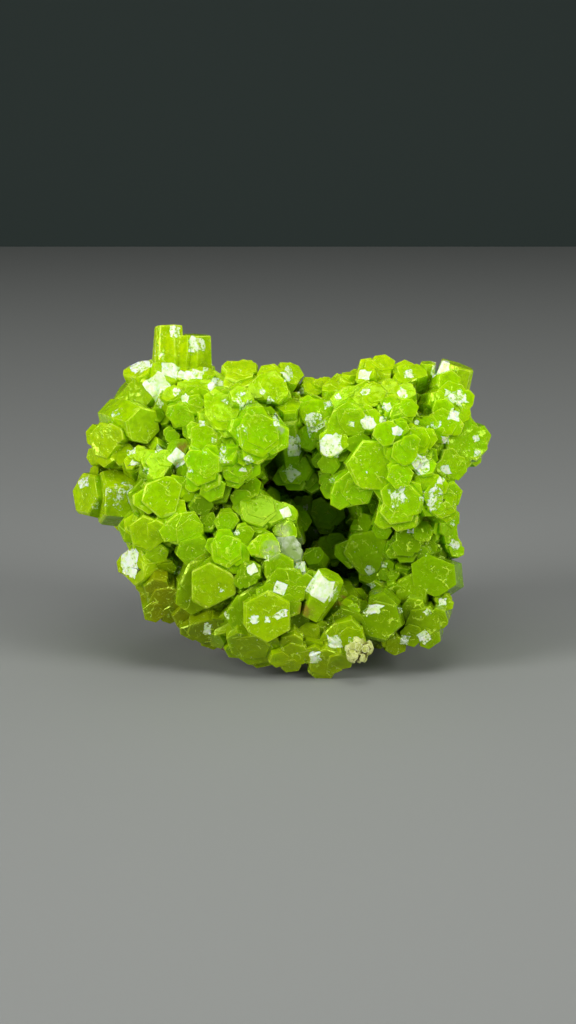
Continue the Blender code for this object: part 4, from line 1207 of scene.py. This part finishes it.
def green_finish(crystals):
    """Lime-green crystal, glossy and a little translucent; painted highlights make it yellower at its edges,
    and painted shade dark in its gaps.
    """
    finish, tree, shader, place = new_finish("green crystal")
    given = {"Place": place, "Grown": stored(tree, "grown", "Vector"), "Flat end": stored(tree, "flat_end")}
    marks = node(tree, "ShaderNodeGroup", given, node_tree=marks_group()).outputs
    yellow_lime = (0.465, 0.65, 0.001, 1.0)
    green_lime = (0.27, 0.64, 0.001, 1.0)
    area = patches(tree, place, 0.35, 0.65, 5.0, 2.0)
    tint = maths(tree, "MULTIPLY_ADD", stored(tree, "tint"), 0.85, times(tree, area, 0.15))
    colour = blend_colour(tree, tint, green_lime, yellow_lime)
    cloud = patches(tree, place, 0.42, 0.7, 2.4)
    colour = lay_on(tree, colour, cloud, 0.42, (0.215, 0.4, 0.001))
    # Painted highlight: a lighter yellow-green glow round the rim of each flat end.
    colour = lay_on(tree, colour, marks["Rim"], 0.55, (0.46, 0.69, 0.003))
    veil = patches(tree, place, 0.4, 0.6, 0.6, 6.0, 0.7)
    colour = lay_on(tree, colour, veil, 0.4, (0.215, 0.42, 0.001))
    # Lighter milky patches at random, which also stand for a painted sheen.
    milk_and_sheen = patches(tree, place, 0.52, 0.74, 1.5, 5.0, 0.6)
    colour = lay_on(tree, colour, milk_and_sheen, 0.3, (0.4, 0.654, 0.012))
    # Painted highlight: lighter yellow-green on the rounded edges, in patches, where light would catch them.
    edge = times(tree, stored(tree, "rounded_edge"), patches(tree, place, 0.38, 0.58, 0.9))
    colour = lay_on(tree, colour, edge, 0.75, (0.6, 0.79, 0.09))
    level = up_the_face(tree, place)
    # Darker olive-green toward the bottom: partly the crystals' own tone there, partly painted shade from the
    # light above.
    colour = lay_on(tree, colour, ramp(tree, level, 17.5, 6.5), 0.38, (0.228, 0.289, 0.0015))
    # Painted shade: sunk and shaded crystals a darker, deeper green.
    colour = lay_on(tree, colour, stored(tree, "sunk"), 0.8, (0.105, 0.22, 0.0012))
    olive = times(tree, stored(tree, "olive"), patches(tree, place, 0.2, 0.55, 3.0))
    colour = lay_on(tree, colour, olive, 0.8, (0.215, 0.235, 0.002))
    deep = stored(tree, "deep")
    # Painted shade: dark green where the neighbourhood hides the sky, less of it deep in the hollow and high
    # on the face.
    gap = ramp(tree, stored(tree, "shelter"), 0.42, 0.95)
    gap = times(tree, gap, maths(tree, "MULTIPLY_ADD", deep, -0.5, 0.68))
    high = ramp(tree, level, 21.0, 30.0)
    gap = times(tree, gap, maths(tree, "MULTIPLY_ADD", high, -0.4, 1.0))
    colour = blend_colour(tree, gap, colour, (0.068, 0.137, 0.0015, 1.0))
    colour = lay_on(tree, colour, stain(tree, place, crystals, RUST), 0.8, (0.27, 0.15, 0.03))
    colour = lay_on(tree, colour, stain(tree, place, crystals, FIBRES), 0.85, (0.42, 0.48, 0.26))
    colour = lay_on(tree, colour, marks["Lines"], 0.66, (0.6, 0.81, 0.06))
    # Painted highlights: pale sparkling flecks.
    colour = lay_on(tree, colour, marks["Flecks"], 0.85, (0.654, 0.737, 0.342))
    colour = lay_on(tree, colour, marks["Pits"], 0.25, (0.122, 0.258, 0.003))
    # Painted glints: the marked facets turn whitish, like the lamps' reflection, broken by crumbs of green.
    crumb = times(tree, noise(tree, place, 0.3, 5.0, 0.7), 0.6)
    crumb = maths(tree, "MULTIPLY_ADD", noise(tree, place, 1.0), 0.4, crumb)
    shine = ramp(tree, maths(tree, "MULTIPLY_ADD", stored(tree, "painted_glint"), 0.405, crumb), 0.76, 0.83)
    white = blend_colour(tree, patches(tree, place, 0.35, 0.6, 0.5),
                         (0.74, 0.93, 0.44, 1.0), (0.9, 0.99, 0.84, 1.0))
    colour = blend_colour(tree, times(tree, shine, 0.95), colour, white)
    # Painted shade: darker deep in the hollow.
    colour = lay_on(tree, colour, deep, 0.3, (0.06, 0.11, 0.002))
    rough = maths(tree, "MULTIPLY_ADD", noise(tree, place, 0.6, 4.0), 0.16, 0.03)
    rough = maths(tree, "ADD", rough, times(tree, marks["Pits"], 0.3), clamp=True)
    height = maths(tree, "ADD", marks["Height"], times(tree, shine, 0.5))
    fill(tree, shader, {"IOR": 1.6, "Specular IOR Level": 0.5, "Specular Tint": (0.72, 1.0, 0.12, 1.0)})
    complete(tree, shader, colour, rough, height, 0.045, (0.65, (0.8, 1.0, 0.05), 1.6))
    return finish


def rock_finish():
    """Brown ironstone: rusty, ochre and nearly black in patches, matt and gritty."""
    finish, tree, shader, place = new_finish("brown ironstone")
    patch = patches(tree, place, 0.35, 0.65, 3.5, 5.0)
    colour = blend_colour(tree, patch, (0.06, 0.034, 0.018, 1.0), (0.205, 0.118, 0.052, 1.0))
    rust = patches(tree, place, 0.56, 0.7, 2.0, 5.0, 0.65)
    colour = lay_on(tree, colour, rust, 0.7, (0.33, 0.15, 0.04))
    ochre = patches(tree, place, 0.62, 0.74, 1.1, 5.0, 0.65)
    colour = lay_on(tree, colour, ochre, 0.6, (0.42, 0.27, 0.1))
    dark = patches(tree, place, 0.55, 0.72, 5.0, 4.0)
    colour = lay_on(tree, colour, dark, 0.7, (0.022, 0.017, 0.014))
    rough = maths(tree, "MULTIPLY_ADD", noise(tree, place, 1.0), 0.35, 0.6)
    grain = maths(tree, "ADD", noise(tree, place, 0.5, 6.0, 0.7), times(tree, rust, 0.3))
    complete(tree, shader, colour, rough, grain, 0.16)
    return finish


def cream_finish():
    """Cream-yellow crystal, satin, with whiter tips."""
    finish, tree, shader, place = new_finish("cream crystal")
    patch = patches(tree, place, 0.35, 0.65, 1.2, 4.0)
    colour = blend_colour(tree, patch, (0.4, 0.45, 0.07, 1.0), (0.62, 0.67, 0.24, 1.0))
    colour = blend_colour(tree, stored(tree, "rounded_edge"), colour, (0.8, 0.84, 0.5, 1.0))
    # Painted shade: darker and browner in the seams between the small crystals, where the neighbourhood hides
    # the sky.
    seam_shade = ramp(tree, stored(tree, "shelter"), 0.15, 0.5)
    colour = lay_on(tree, colour, seam_shade, 0.75, (0.17, 0.13, 0.025))
    rough = maths(tree, "MULTIPLY_ADD", noise(tree, place, 0.4), 0.4, 0.15)
    complete(tree, shader, colour, rough, noise(tree, place, 0.22, 4.0), 0.05, (0.25, (1.0, 0.9, 0.4), 0.6))
    return finish


def pale_finish():
    """Cloudy whitish crystal with a breath of green."""
    finish, tree, shader, place = new_finish("cloudy crystal")
    patch = patches(tree, place, 0.35, 0.68, 1.0, 4.0)
    colour = blend_colour(tree, patch, (0.23, 0.34, 0.08, 1.0), (0.5, 0.57, 0.4, 1.0))
    rough = maths(tree, "MULTIPLY_ADD", noise(tree, place, 0.5), 0.4, 0.2)
    complete(tree, shader, colour, rough, noise(tree, place, 0.3, 4.0), 0.03, (0.4, (1.0, 1.0, 0.9), 0.8))
    return finish


def plain_stage(name, colour, roughness):
    """A plain matt finish for the floor or the backdrop."""
    finish, _, shader, _ = new_finish(name)
    shader.inputs["Base Color"].default_value = (*colour, 1.0)
    shader.inputs["Roughness"].default_value = roughness
    return finish


def stage_floor():
    """A plain pale floor that ends some way behind, and a plain backdrop."""
    deselect()
    bpy.ops.mesh.primitive_plane_add(size=1.0, location=(0.0, -0.1, 0.0))
    floor = bpy.context.object
    floor.name = "floor"
    floor.scale = (3.0, 1.3, 1.0)
    floor.data.materials.append(plain_stage("pale floor", (0.258, 0.265, 0.252), 0.75))
    deselect()
    bpy.ops.mesh.primitive_plane_add(size=3.0, location=(0.0, 0.75, 0.0),
                                     rotation=(math.radians(90.0), 0.0, 0.0))
    backdrop = bpy.context.object
    backdrop.name = "backdrop"
    backdrop.data.materials.append(plain_stage("grey backdrop", (0.052, 0.073, 0.065), 0.9))


def stage_world():
    """Even, weak light from all round."""
    world = bpy.data.worlds.new("studio")
    bpy.context.scene.world = world
    world.use_nodes = True
    back = world.node_tree.nodes["Background"]
    back.inputs["Color"].default_value = (0.8, 0.86, 0.86, 1.0)
    back.inputs["Strength"].default_value = 0.11


def dress(piece, finish):
    """Give a piece this finish alone."""
    piece.data.materials.clear()
    piece.data.materials.append(finish)


stage_camera()
stage_lamps()
stage_world()
stage_floor()

forms = make_forms(random.Random(LOOKS_SEED))
crystals = grow_crystals(forms)
cut_to_frame(crystals)
mark_glints(crystals)
crystals = main_skin(crystals)
shelter_of(crystals, CRYSTAL_SHELTER)
dress(crystals, green_finish(crystals))
rock = rough_rock()
dress(rock, rock_finish())
cream = small_group("cream_crystals", CREAM_GROUP, forms[0], random.Random(SEED + 2), 12, 0.62)
shelter_of(cream, CREAM_SHELTER)
dress(cream, cream_finish())
pale = small_group("cloudy_crystal", [PALE_CRYSTAL], forms[1], random.Random(SEED + 3), 2, 1.0)
dress(pale, pale_finish())
for kind in forms:
    for form in kind:
        remove(form)
for piece, solid, slot in ((crystals, "pyromorphite_crystals", "green_crystal"),
                           (rock, "ironstone_matrix", "ironstone"),
                           (cream, "cream_crystal_group", "cream_crystal"),
                           (pale, "pale_crystal", "cloudy_crystal")):
    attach(piece, "root")
    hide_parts(solid)

bpy.context.scene.view_settings.view_transform = "Standard"
